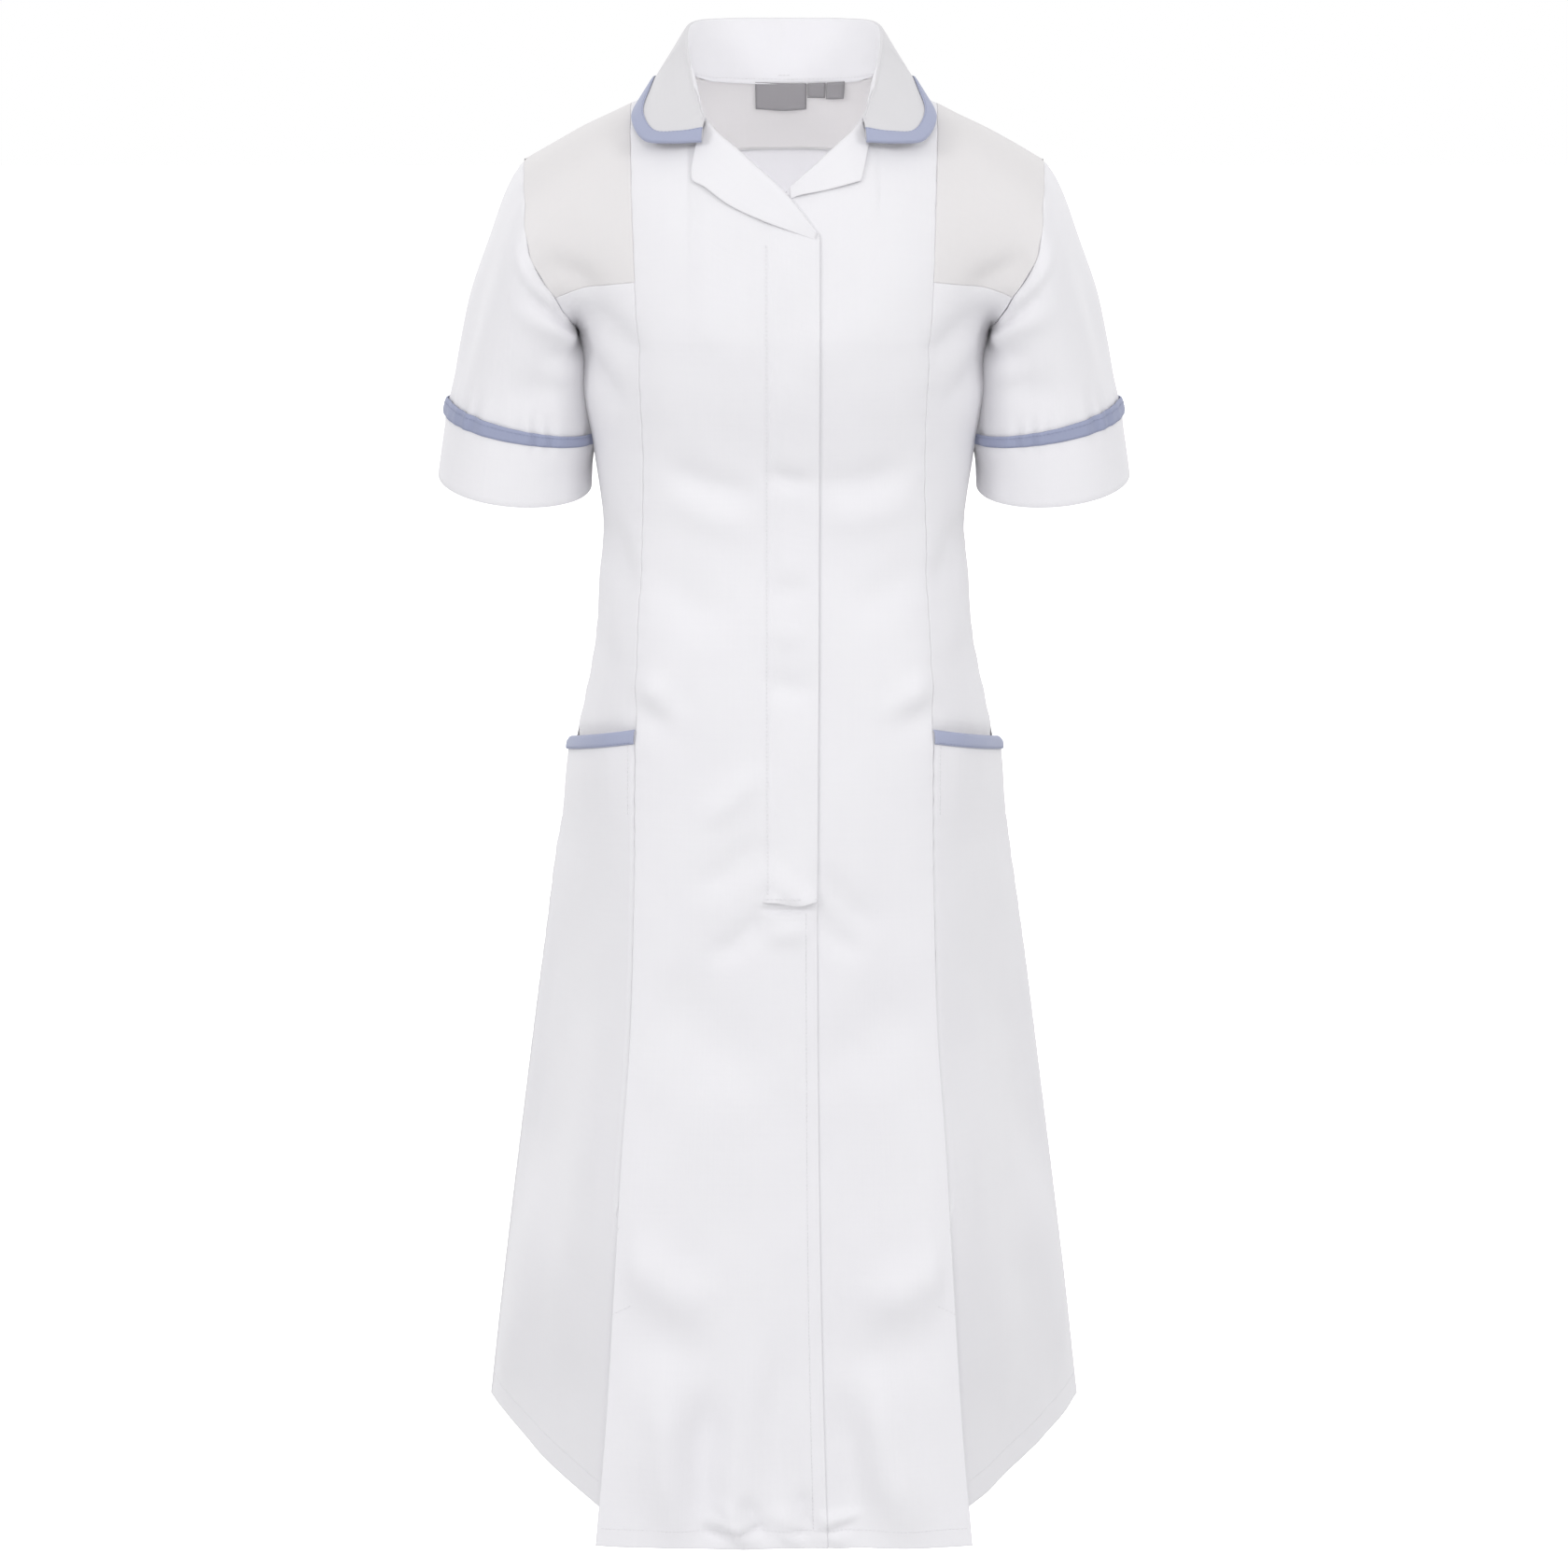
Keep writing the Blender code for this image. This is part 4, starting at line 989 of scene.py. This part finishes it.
SLEEVE_CREASES = (
    (0.03, 0.10, 0.20, 0.52, 0.010, -0.0024),
    (0.06, 0.06, 0.27, 0.40, 0.010, 0.0018),
    (0.10, 0.06, 0.24, 0.20, 0.007, -0.0020),
    (0.17, 0.05, 0.30, 0.16, 0.008, 0.0014),
    (0.10, 0.52, 0.28, 0.86, 0.014, -0.0014),
    (0.38, 0.30, 0.44, 0.90, 0.018, -0.0022),
    (0.47, 0.40, 0.50, 1.00, 0.015, 0.0016),
    (0.93, 0.10, 0.80, 0.55, 0.011, -0.0024),
    (0.96, 0.06, 0.74, 0.36, 0.010, 0.0018),
    (0.86, 0.50, 0.70, 0.90, 0.014, -0.0016),
    (0.60, 0.36, 0.58, 0.92, 0.018, -0.0018),
    (0.66, 0.20, 0.68, 0.60, 0.016, 0.0012),
)


def arm_ring(size, turn):
    """Points of a ring round the arm: turn 0 at the body, a quarter at the front, a half outside."""
    row = dict(zip(SLEEVE_COLUMNS, size))
    x = -row["half_x"] * np.cos(turn * 2 * math.pi)
    y = -row["half_y"] * np.sin(turn * 2 * math.pi)
    centre = np.array([row["centre_x"], row["centre_y"], row["centre_z"]])
    return centre + point(x, y, row["rise_x"] * x + row["rise_y"] * y)


SHOULDER_MARKS = 64
around = np.linspace(0, 1, SHOULDER_MARKS + 1)
mark_t = np.concatenate([around, around[-2:0:-1]])
mark_back = np.arange(len(mark_t)) > SHOULDER_MARKS
seam_line = armhole(mark_t, mark_back)
seam_steps = np.linalg.norm(np.roll(seam_line, -1, 0) - seam_line, axis=1)
front_run = np.concatenate([[0], np.cumsum(seam_steps[:SHOULDER_MARKS])])
rear_run = np.concatenate([[0], np.cumsum(seam_steps[SHOULDER_MARKS:])])
mark_turn = np.concatenate([0.5 * front_run / front_run[-1], 0.5 + 0.5 * rear_run[1:-1] / rear_run[-1]])


def sleeve_form(w):
    """The sleeve's plain rows: w 0 to 1 from the armhole to the cuff's binding, and on to 2 at the cuff's edge."""
    w = np.asarray(w, float)[:, None]
    start = armhole(mark_t, mark_back)[None]
    end = arm_ring(SLEEVE_END, mark_turn)[None]
    edge = arm_ring(CUFF_EDGE, mark_turn)[None]
    high = ((start[..., 2] - UNDERARM_Z) / (ridge(SHOULDER_X)[2] - UNDERARM_Z))[..., None]
    high = np.clip(high, 0, None)
    length = np.linalg.norm(end - start, axis=-1, keepdims=True)
    leave = unit(mix(UNDER_LEAVE, TOP_LEAVE, high**SLEEVE_ROUND)) * length
    outer = (0.5 - 0.5 * np.cos(mark_turn * 2 * math.pi))[None, :, None]
    arrive = unit(mix(UNDER_ARRIVE, TOP_ARRIVE, outer)) * length
    upper_part = hermite(start, end, leave * mix(1.0, TOP_PULL, high), arrive, np.minimum(w, 1))
    lower_part = mix(end, edge, (w - 1)[..., None])
    return np.where(w[..., None] >= 1, lower_part, upper_part)


def sleeve_creases(w):
    turn = mark_turn[None, :]
    w = np.asarray(w, float)[:, None]
    total = np.zeros(np.broadcast(turn, w).shape)
    for row in SLEEVE_CREASES:
        crease = dict(zip(SLEEVE_CREASE_COLUMNS, row))
        start = np.array([crease["turn0"] * SLEEVE_AROUND, crease["w0"] * SLEEVE_DEEP])
        run = np.array([crease["turn1"] * SLEEVE_AROUND, crease["w1"] * SLEEVE_DEEP]) - start
        length = np.linalg.norm(run)
        run = run / length
        across, down = turn * SLEEVE_AROUND - start[0], w * SLEEVE_DEEP - start[1]
        along = across * run[0] + down * run[1]
        off = down * run[0] - across * run[1] + 0.05 * length * np.sin(along / length * 3)
        taper = ease((along + crease["width"]) / (0.4 * length + crease["width"]))
        taper = taper * ease((length + crease["width"] - along) / (0.4 * length + crease["width"]))
        total += taper * crease["depth"] * SLEEVE_CREASE_GAIN * np.exp(-((off / crease["width"]) ** 2))
    inwards = ease((np.cos((turn - 0.08) * 2 * math.pi) - 0.72) / 0.28)
    total += SLEEVE_TO_BODY * inwards * ease((w - 0.03) / 0.22) * ease((1.65 - w) / 0.80)
    gathers = np.sin(turn * 2 * math.pi * 23 + 1.5 * np.sin(turn * 31)) * (0.6 + 0.4 * np.sin(turn * 40))
    total += 0.0016 * gathers * np.exp(-(((w - 1.0) * SLEEVE_DEEP) / 0.020) ** 2)
    total += 0.0005 * np.sin(turn * 2 * math.pi * 17 + 0.7) * np.exp(-w * SLEEVE_DEEP / 0.012)
    return total


def sleeve_grid(w, out=0.0):
    """The sleeve's rows with their creases, moved out."""
    w = np.asarray(w, float)
    step = 0.02
    middle = sleeve_form(w)
    along = sleeve_form(w + step) - sleeve_form(w - step)
    round_it = np.roll(middle, -1, 1) - np.roll(middle, 1, 1)
    away = unit(np.cross(along, round_it))
    uneven = 0.0009 * drift(middle[..., 0], middle[..., 1], middle[..., 2], 0.085)
    move = sleeve_creases(w) + uneven * ease(w / 0.15)[:, None] + out
    return middle + away * move[..., None]


sleeve_w = np.concatenate([[-0.008, 0.004], rows_between(0.026, 1.0, 0.026), rows_between(1.0, 1.96, 0.11)[1:]])
sleeve = sleeve_grid(sleeve_w)
sleeve[0] = sleeve_grid(sleeve_w[:1], -0.0016)[0]
sleeve[1] = sleeve_grid(sleeve_w[1:2], -0.0003)[0]
sleeve = facing_out(sleeve)
cut("sleeve_left", sleeve, WHITE_TWILL, closed=True)
cut("sleeve_right", mirrored(sleeve), WHITE_TWILL, closed=True)


# Cuffs: bands of the same twill sewn to the sleeves' ends and turned up, a layer outside the sleeve.
CUFF_LIFT = 0.0017
cuff_w = rows_between(1.0, 2.0, 0.085)
cuff_end = [sleeve_grid([2.0 + beyond], CUFF_LIFT - sunk) for beyond, sunk in ((0.006, 0.0002), (0.009, 0.0006))]
cuff = facing_out(np.concatenate([sleeve_grid(cuff_w, CUFF_LIFT)] + cuff_end))
cut("cuff_left", cuff, WHITE_TWILL, 0.0010, closed=True)
cut("cuff_right", mirrored(cuff), WHITE_TWILL, 0.0010, closed=True)


# Cuff bindings: blue bias strips over the seam between sleeve and cuff, stitched along both edges.
CUFF_DEPTH = 0.043
CUFF_BINDING = 0.0056
CUFF_BINDING_LIFT = 0.0024
# The cuff bindings take a darker copy of the blue binding cloth: the darkening is painted shade for the lesser light
# at the cuffs.
SHADED_CUFF_BLUE = cloth_material("blue cuff binding with painted shade", (0.345, 0.372, 0.510), (0.295, 0.322, 0.455), 0.0005, 0.80, 0.20, 0.0002)
band_w = 1.0 + (BAND * CUFF_BINDING - 0.0020) / CUFF_DEPTH
band_rows = [sleeve_grid([w], CUFF_BINDING_LIFT + rise * BINDING_CROWN)[0] for w, rise in zip(band_w, BAND_RISE)]
cuff_binding = facing_out(np.stack(band_rows))
for side, grid in (("left", cuff_binding), ("right", mirrored(cuff_binding))):
    cut(f"cuff_binding_{side}", grid, SHADED_CUFF_BLUE, BINDING_WALL, closed=True)


# The collar: one folded piece that stands up from the neck seam, rolls over, and falls onto the shoulders.
COLLAR_NECK_SHARE = 0.42
COLLAR_FRONT_S = 0.50
COLLAR_FOOT_LIFT = 0.0004
COLLAR_BINDING = 0.0092
ROLL_HALF = 0.0024
COLLAR_PUFF = 0.0020
NECK_BAND_IN = 0.0022
NECK_BAND_DOWN = 0.0026
COLLAR_COLUMNS = ("share", "roll_x", "roll_y", "roll_z", "edge_x", "edge_y", "edge_z")
COLLAR = (
    (0.00, 0.0550, -0.0765, -0.0185, 0.0565, -0.0850, -0.0330),
    (0.08, 0.0580, -0.0680, -0.0120, 0.0770, -0.0820, -0.0338),
    (0.16, 0.0605, -0.0550, -0.0050, 0.0965, -0.0710, -0.0318),
    (0.26, 0.0640, -0.0350, 0.0060, 0.1055, -0.0450, -0.0170),
    (0.42, 0.0695, 0.0020, 0.0340, 0.0965, 0.0020, 0.0010),
    (0.60, 0.0660, 0.0270, 0.0480, 0.0880, 0.0420, 0.0000),
    (0.80, 0.0420, 0.0490, 0.0515, 0.0560, 0.0660, -0.0060),
    (1.00, 0.0000, 0.0580, 0.0520, 0.0000, 0.0710, -0.0070),
)


def collar_line(share, kind):
    return point(*[read(COLLAR, COLLAR_COLUMNS, "share", share, f"{kind}_{c}") for c in "xyz"])


def collar_foot(share):
    """Where the collar is sewn to the neckline."""
    front_s = mix(COLLAR_FRONT_S, NECK_S, np.clip(share / COLLAR_NECK_SHARE, 0, 1))
    back_s = mix(4 - NECK_S, 4, np.clip((share - COLLAR_NECK_SHARE) / (1 - COLLAR_NECK_SHARE), 0, 1))
    on_front = share < COLLAR_NECK_SHARE
    s = np.where(on_front, front_s, back_s)
    q = np.where(on_front, roll_end(front_s), neck_end(back_s))
    return form(s, q, COLLAR_FOOT_LIFT) + np.array([0, 0, COLLAR_FOOT_LIFT])


def collar_knots(share):
    """The fold's section at each share: foot, roll and outer edge, with the binding's edge before the last."""
    foot = collar_foot(share)
    top = collar_line(share, "roll")
    edge = collar_line(share, "edge")
    away = unit((edge - foot) * np.array([1, 1, 0]))
    down = np.array([0, 0, ROLL_HALF * 0.8])
    inner = top - away * ROLL_HALF - down
    outer = top + away * ROLL_HALF - down
    length = np.linalg.norm(edge - outer, axis=-1, keepdims=True)
    fall = (edge - outer) / length
    puff = away - fall * (away * fall).sum(-1, keepdims=True)
    bound = np.maximum(1 - COLLAR_BINDING / length, 0.35)
    wave = 0.0009 * np.sin(share * 31 + 0.6)[:, None] * ease((share - 0.06) / 0.2)[:, None]
    hang = ease((share - COLLAR_NECK_SHARE) / 0.12)[:, None]
    towards = -unit(foot * np.array([1, 1, 0]))
    low = foot + hang * (towards * NECK_BAND_IN + np.array([0, 0, -NECK_BAND_DOWN]))
    stand = mix(foot + hang * towards * NECK_BAND_IN * 0.6, inner, 0.35)
    knots = [low, stand, mix(foot, inner, 0.75), inner, top, outer]
    for u in (bound * 0.33, bound * 0.66, bound, 1.0 + 0 * bound):
        knots.append(mix(outer, edge, u) + puff * (COLLAR_PUFF * np.sin(math.pi * u) + wave * u))
    return np.stack(knots, 1)


def whole_collar(half):
    """Both halves of a collar piece, front end to front end."""
    return np.concatenate([half, half[-2::-1] * np.array([-1.0, 1.0, 1.0])])


FALL_STRIP = 17
# The collar's fall takes a greyer copy of the white twill: its grey is painted shade for the fall turning up and
# away from the light.
SHADED_FALL_TWILL = cloth_material("white twill with painted shade on the fall", (0.700, 0.694, 0.712), (0.655, 0.647, 0.668))
collar_share = np.concatenate([rows_between(0, 0.26, 0.0105), rows_between(0.26, 1.0, 0.0185)[1:]])
half_collar = flowing(collar_knots(collar_share), 46)
collar = whole_collar(half_collar)
made = cut("collar", turned_in(collar, ("low", "high"), 0.0008), WHITE_TWILL, 0.0013)
# Faces from the fall strip outwards take the painted-shade twill.
made.data.materials.append(SHADED_FALL_TWILL)
strip = np.arange(len(made.data.polygons)) % (half_collar.shape[1] - 1)
made.data.polygons.foreach_set("material_index", (strip >= FALL_STRIP).astype(np.int32))


# The collar's binding: a blue bias strip folded over the fall's outer edge from front end to front end.
COLLAR_BINDING_LIFT = 0.0011


def binding_knots(share):
    knots = collar_knots(share)
    edge = knots[:, -1]
    into = knots[:, -2] - edge
    along = np.gradient(edge, axis=0)
    out = unit(np.cross(along, into))
    places = []
    for across, rise in zip(BAND, BAND_RISE):
        lift = out * (COLLAR_BINDING_LIFT + rise * BINDING_CROWN)
        places.append(edge + into * (1 - across * 1.09) + lift)
    places.append(edge - into * 0.10 - out * 0.0014)
    places.append(edge + into * 0.30 - out * 0.0022)
    return np.stack(places, 1)


half_binding = flowing(binding_knots(collar_share), 24)
cut("collar_binding", turned_in(whole_collar(half_binding), ("low", "high"), 0.0006), BLUE_BINDING, BINDING_WALL)


# Lapels: the fronts' own facings, turned back over the roll line and pressed flat below the collar's ends.
LAPEL_COLUMNS = ("share", "x", "z")
LAPEL_OVER = (
    (0.00, 0.0575, -0.0330),
    (0.25, 0.0615, -0.0590),
    (0.35, 0.0525, -0.0650),
    (0.50, 0.0360, -0.0770),
    (0.70, 0.0120, -0.0880),
    (1.00, -0.0230, -0.1005),
)
LAPEL_UNDER = (
    (0.00, 0.0565, -0.0330),
    (0.25, 0.0515, -0.0590),
    (0.35, 0.0480, -0.0615),
    (0.55, 0.0300, -0.0660),
    (0.80, 0.0110, -0.0700),
    (1.00, 0.0040, -0.0720),
)
LAPEL_TOP_X = 0.0525
LAPEL_OVER_FOOT_X = -0.0232
LAPEL_UNDER_FOOT_X = 0.0030
LAPEL_SEAM_X = 0.1042
LAPEL_FOOT_LIFT = 0.55
LAPEL_ACROSS = np.array([0.05, -0.01, -0.045, -0.05, -0.02, 0.06, 0.16, 0.28, 0.42, 0.56, 0.70, 0.84, 0.94, 1.0])
LAPEL_LIFTS = np.array([-24, -21, -10, 2, 18, 25, 26, 25, 24, 24, 24, 24, 23, 22]) * 0.0001


def lapel_grid(edge_rows, foot_x, under):
    """Rows from inside the front, round the roll line and out to the lapel's edge."""
    share = rows_between(0.02, 0.985, 0.018)[:, None]
    roll_x = mix(LAPEL_TOP_X, foot_x, share)
    roll_z = read(ROLL, ROLL_COLUMNS, "x", roll_x, "z")
    edge_x = read(edge_rows, LAPEL_COLUMNS, "share", share, "x")
    edge_z = read(edge_rows, LAPEL_COLUMNS, "share", share, "z")
    u = LAPEL_ACROSS[None, :]
    s = mix(roll_x, edge_x, u) / LAPEL_SEAM_X
    z = mix(roll_z, edge_z, u)
    depth = UNDER_DEPTH * (1 - ease((s - UNDER_START_S) / UNDER_SPAN_S)) if under else 0.0
    wave = 0.0004 * np.sin(share * 17 + 1.0) * ease(u)
    lift = LAPEL_LIFTS[None, :] * mix(LAPEL_FOOT_LIFT, 1.0, ease((1 - share) / 0.14))
    return rumpled(s, column_share(np.abs(s), z), lift - depth + wave)


over = turned_in(lapel_grid(LAPEL_OVER, LAPEL_OVER_FOOT_X, False)[::-1], ("right",), 0.0009)
under = turned_in(lapel_grid(LAPEL_UNDER, LAPEL_UNDER_FOOT_X, True)[::-1], ("right",), 0.0009)
cut("lapel_right", mirrored(over), WHITE_TWILL, 0.0010)
cut("lapel_left", under, WHITE_TWILL, 0.0010)


# Stitching: short lockstitches in white thread along the zip strip, the hems, the back yoke and the neck seam,
# and in blue thread along the bindings. Each stitch sinks a little into the cloth.
STITCH_PITCH = 0.0030
STITCH_LENGTH = 0.0023
STITCH_THICKNESS = 0.00042
STITCH_SEED = 7
THREAD_GRAIN = 900.0


def stitch_tree():
    """Stitches at even steps along the given edges, each a small stretched bead."""
    inputs = {
        "Geometry": ("Geometry", None), "Pitch": ("Float", STITCH_PITCH), "Length": ("Float", STITCH_LENGTH),
        "Thickness": ("Float", STITCH_THICKNESS), "Seed": ("Int", STITCH_SEED), "Thread": ("Material", None),
    }
    tree, entry, leave = new_group("stitch rows", "GeometryNodeTree", inputs, ("Geometry",))
    given = entry.outputs
    curve = add_node(tree, "GeometryNodeMeshToCurve", {"Mesh": given["Geometry"]}).outputs["Curve"]
    steps = add_node(tree, "GeometryNodeResampleCurve", {"Curve": curve, "Length": given["Pitch"]}, mode="LENGTH")
    tangent = add_node(tree, "GeometryNodeInputTangent").outputs["Tangent"]
    aim = add_node(tree, "FunctionNodeAlignRotationToVector", {"Vector": tangent}, axis="X")
    bead = add_node(tree, "GeometryNodeMeshUVSphere", {"Segments": 6, "Rings": 4, "Radius": 0.5}).outputs["Mesh"]
    sizes = {"X": given["Length"], "Y": given["Thickness"], "Z": given["Thickness"]}
    size = add_node(tree, "ShaderNodeCombineXYZ", sizes).outputs["Vector"]
    stretch = add_node(tree, "GeometryNodeTransform", {"Geometry": bead, "Scale": size})
    vary = add_node(tree, "FunctionNodeRandomValue", {2: 0.90, 3: 1.10, "Seed": given["Seed"]}, data_type="FLOAT")
    place = add_node(tree, "GeometryNodeInstanceOnPoints", {
        "Points": steps.outputs["Curve"], "Instance": stretch.outputs["Geometry"],
        "Rotation": aim.outputs["Rotation"], "Scale": vary.outputs[1],
    })
    real = add_node(tree, "GeometryNodeRealizeInstances", {"Geometry": place.outputs["Instances"]})
    smooth = add_node(tree, "GeometryNodeSetShadeSmooth", {"Geometry": real.outputs["Geometry"]})
    thread = {"Geometry": smooth.outputs["Geometry"], "Material": given["Thread"]}
    fill(tree, leave, {"Geometry": add_node(tree, "GeometryNodeSetMaterial", thread).outputs["Geometry"]})
    return tree


STITCHES = stitch_tree()


def stitching(name, lines, material):
    """One piece of thread work along the lines, each a row of points."""
    points = np.concatenate(lines)
    ends = np.cumsum([len(line) for line in lines])
    edges = [(i, i + 1) for i in range(len(points) - 1) if i + 1 not in ends]
    path_mesh = bpy.data.meshes.new(f"{name}_path")
    path_mesh.from_pydata(points.tolist(), edges, [])
    path_object = bpy.data.objects.new(f"{name}_path", path_mesh)
    bpy.context.scene.collection.objects.link(path_object)
    rows = path_object.modifiers.new("stitch rows", "NODES")
    rows.node_group = STITCHES
    inputs = {item.name: item.identifier for item in STITCHES.interface.items_tree if item.in_out == "INPUT"}
    settings = {"Pitch": STITCH_PITCH, "Length": STITCH_LENGTH, "Thickness": STITCH_THICKNESS, "Seed": STITCH_SEED}
    for label, value in (*settings.items(), ("Thread", material)):
        rows[inputs[label]] = value
    graph = bpy.context.evaluated_depsgraph_get()
    graph.update()
    mesh = bpy.data.meshes.new_from_object(path_object.evaluated_get(graph), depsgraph=graph)
    mesh.name = name
    bpy.data.objects.remove(path_object)
    made = bpy.data.objects.new(name, mesh)
    bpy.context.scene.collection.objects.link(made)
    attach(made, "root")


def thread_material(name, colour, shade):
    """Spun thread: two near tones in short lengths."""
    material, tree, shader = new_material(name, {"Roughness": 0.62, "Sheen Weight": 0.15})
    place = add_node(tree, "ShaderNodeTexCoord").outputs["Object"]
    grain = add_node(tree, "ShaderNodeTexNoise", {"Vector": place, "Scale": THREAD_GRAIN}).outputs["Fac"]
    fill(tree, shader, {"Base Color": two_tones(tree, colour, shade, grain)})
    return material


WHITE_THREAD = thread_material("white thread", (0.80, 0.79, 0.81), (0.64, 0.63, 0.66))
BLUE_THREAD = thread_material("blue thread", (0.30, 0.33, 0.47), (0.22, 0.25, 0.38))
ON_CLOTH = 0.00012
FRONT_HEM_UP = 0.014
SIDE_HEM_UP = 0.022
PLEAT_BAR_Z = -0.875
LONG = rows_between(-0.565, -0.104, 0.006)

white_rows = [
    rumpled(placket_place(0.035, LONG), body_share(placket_place(0.035, LONG), LONG), PLACKET_LIFT * 0.8 + ON_CLOTH),
    rumpled(np.linspace(-0.97, 0.97, 120), height(HEM_Z + FRONT_HEM_UP), ON_CLOTH),
    rumpled(np.linspace(2.02, 5.98, 160), height(HEM_Z + SIDE_HEM_UP), ON_CLOTH),
]
foot_f = rows_between(0.04, 0.98, 0.04)
foot_lift = PLACKET_LIFT + ON_CLOTH + PLACKET_END_LIFT * 0.5
white_rows.append(rumpled(placket_place(foot_f, PLACKET_END_Z + 0.0045), height(PLACKET_END_Z + 0.0045), foot_lift))
lap_z = rows_between(HEM_Z + 0.016, -0.575, 0.008)
white_rows.append(rumpled(lap_edge(lap_z) - 0.075, height(lap_z), ON_CLOTH))
yoke_seam_s = np.linspace(2.02, 5.98, 130)
white_rows.append(rumpled(yoke_seam_s, yoke_share(yoke_seam_s) + 0.022, ON_CLOTH))
neck_row = half_collar[collar_share > COLLAR_NECK_SHARE, 1]
neck_row = neck_row - unit(neck_row * np.array([1.0, 1.0, 0.0])) * 0.0002
white_rows.append(whole_collar(neck_row[:, None])[:, 0])
mark = neck_row[-1] + np.array([0.0, 0.0, 0.0030])
white_rows.append(np.stack([mark - np.array([0.003, 0, 0]), mark, mark + np.array([0.003, 0, 0])]))

skirt_s = np.linspace(1.03, 1.985, 60)
bag_z = rows_between(POCKET_SEAM_Z - 0.060, POCKET_SEAM_Z - 0.012, 0.006)
tack_z = np.linspace(PLEAT_BAR_Z - 0.003, PLEAT_BAR_Z + 0.004, 5)
pocket_s = side_s[0, 1:-1]
binding_z = pocket_z(pocket_s) - POCKET_BINDING + 0.0012
binding_out = pocket_stand(pocket_s, binding_z) + BINDING_LIFT + 0.0007
blue_rows = []
for side in (1, -1):
    white_rows.append(rumpled(side * skirt_s, height(HEM_Z + SIDE_HEM_UP), ON_CLOTH))
    white_rows.append(rumpled(side * (1.05 + 0 * bag_z), height(bag_z), ON_CLOTH + pocket_stand(1.05, bag_z)))
    white_rows.append(rumpled(side * np.linspace(0.995, 0.90, 5), height(tack_z), 0.0003))
    blue_rows.append(rumpled(side * pocket_s, height(binding_z), binding_out))
stitching("white_stitching", white_rows, WHITE_THREAD)

for share in (0.85, 0.15):
    row = sleeve_grid([1.0 + (share * CUFF_BINDING - 0.0020) / CUFF_DEPTH], CUFF_BINDING_LIFT + 0.0007)[0]
    row = np.concatenate([row, row[:1]])
    blue_rows += [row, row * np.array([-1.0, 1.0, 1.0])]
blue_rows.append(whole_collar(half_binding[:, 3:4])[:, 0])
stitching("blue_stitching", blue_rows, BLUE_THREAD)


# Three bare satin labels caught in the neck seam: a wide one and two narrow ones, hanging inside the yoke.
LABEL_BELOW_SEAM = -0.0004
LABEL_COLUMNS = ("name", "left_x", "right_x", "drop")
LABELS = (
    ("label_wide", -0.0212, 0.0166, 0.0190),
    ("label_middle", 0.0174, 0.0306, 0.0105),
    ("label_end", 0.0314, 0.0446, 0.0112),
)
GREY_SATIN = cloth_material("grey satin label", (0.34, 0.33, 0.345), (0.29, 0.28, 0.295), 0.0003, 0.42, 0.1, 0.0001)

for name, left_x, right_x, drop in LABELS:
    across = rows_between(left_x, right_x, 0.0022)[None, :]
    down = rows_between(drop, 0.0, 0.0022)[:, None]
    label_s = 4 - across / SEAM_TOP_X
    seam_z = form(label_s, neck_end(label_s))[..., 2]
    label_z = seam_z - LABEL_BELOW_SEAM - down
    curl = 0.0016 * ease(down / drop) * (0.5 + 0.5 * np.cos(across * 160))
    q = column_share(np.minimum(label_s, 8 - label_s), label_z)
    grid = rumpled(label_s, q, -(0.0021 + curl))
    cut(name, facing_out(grid), GREY_SATIN, 0.0005)
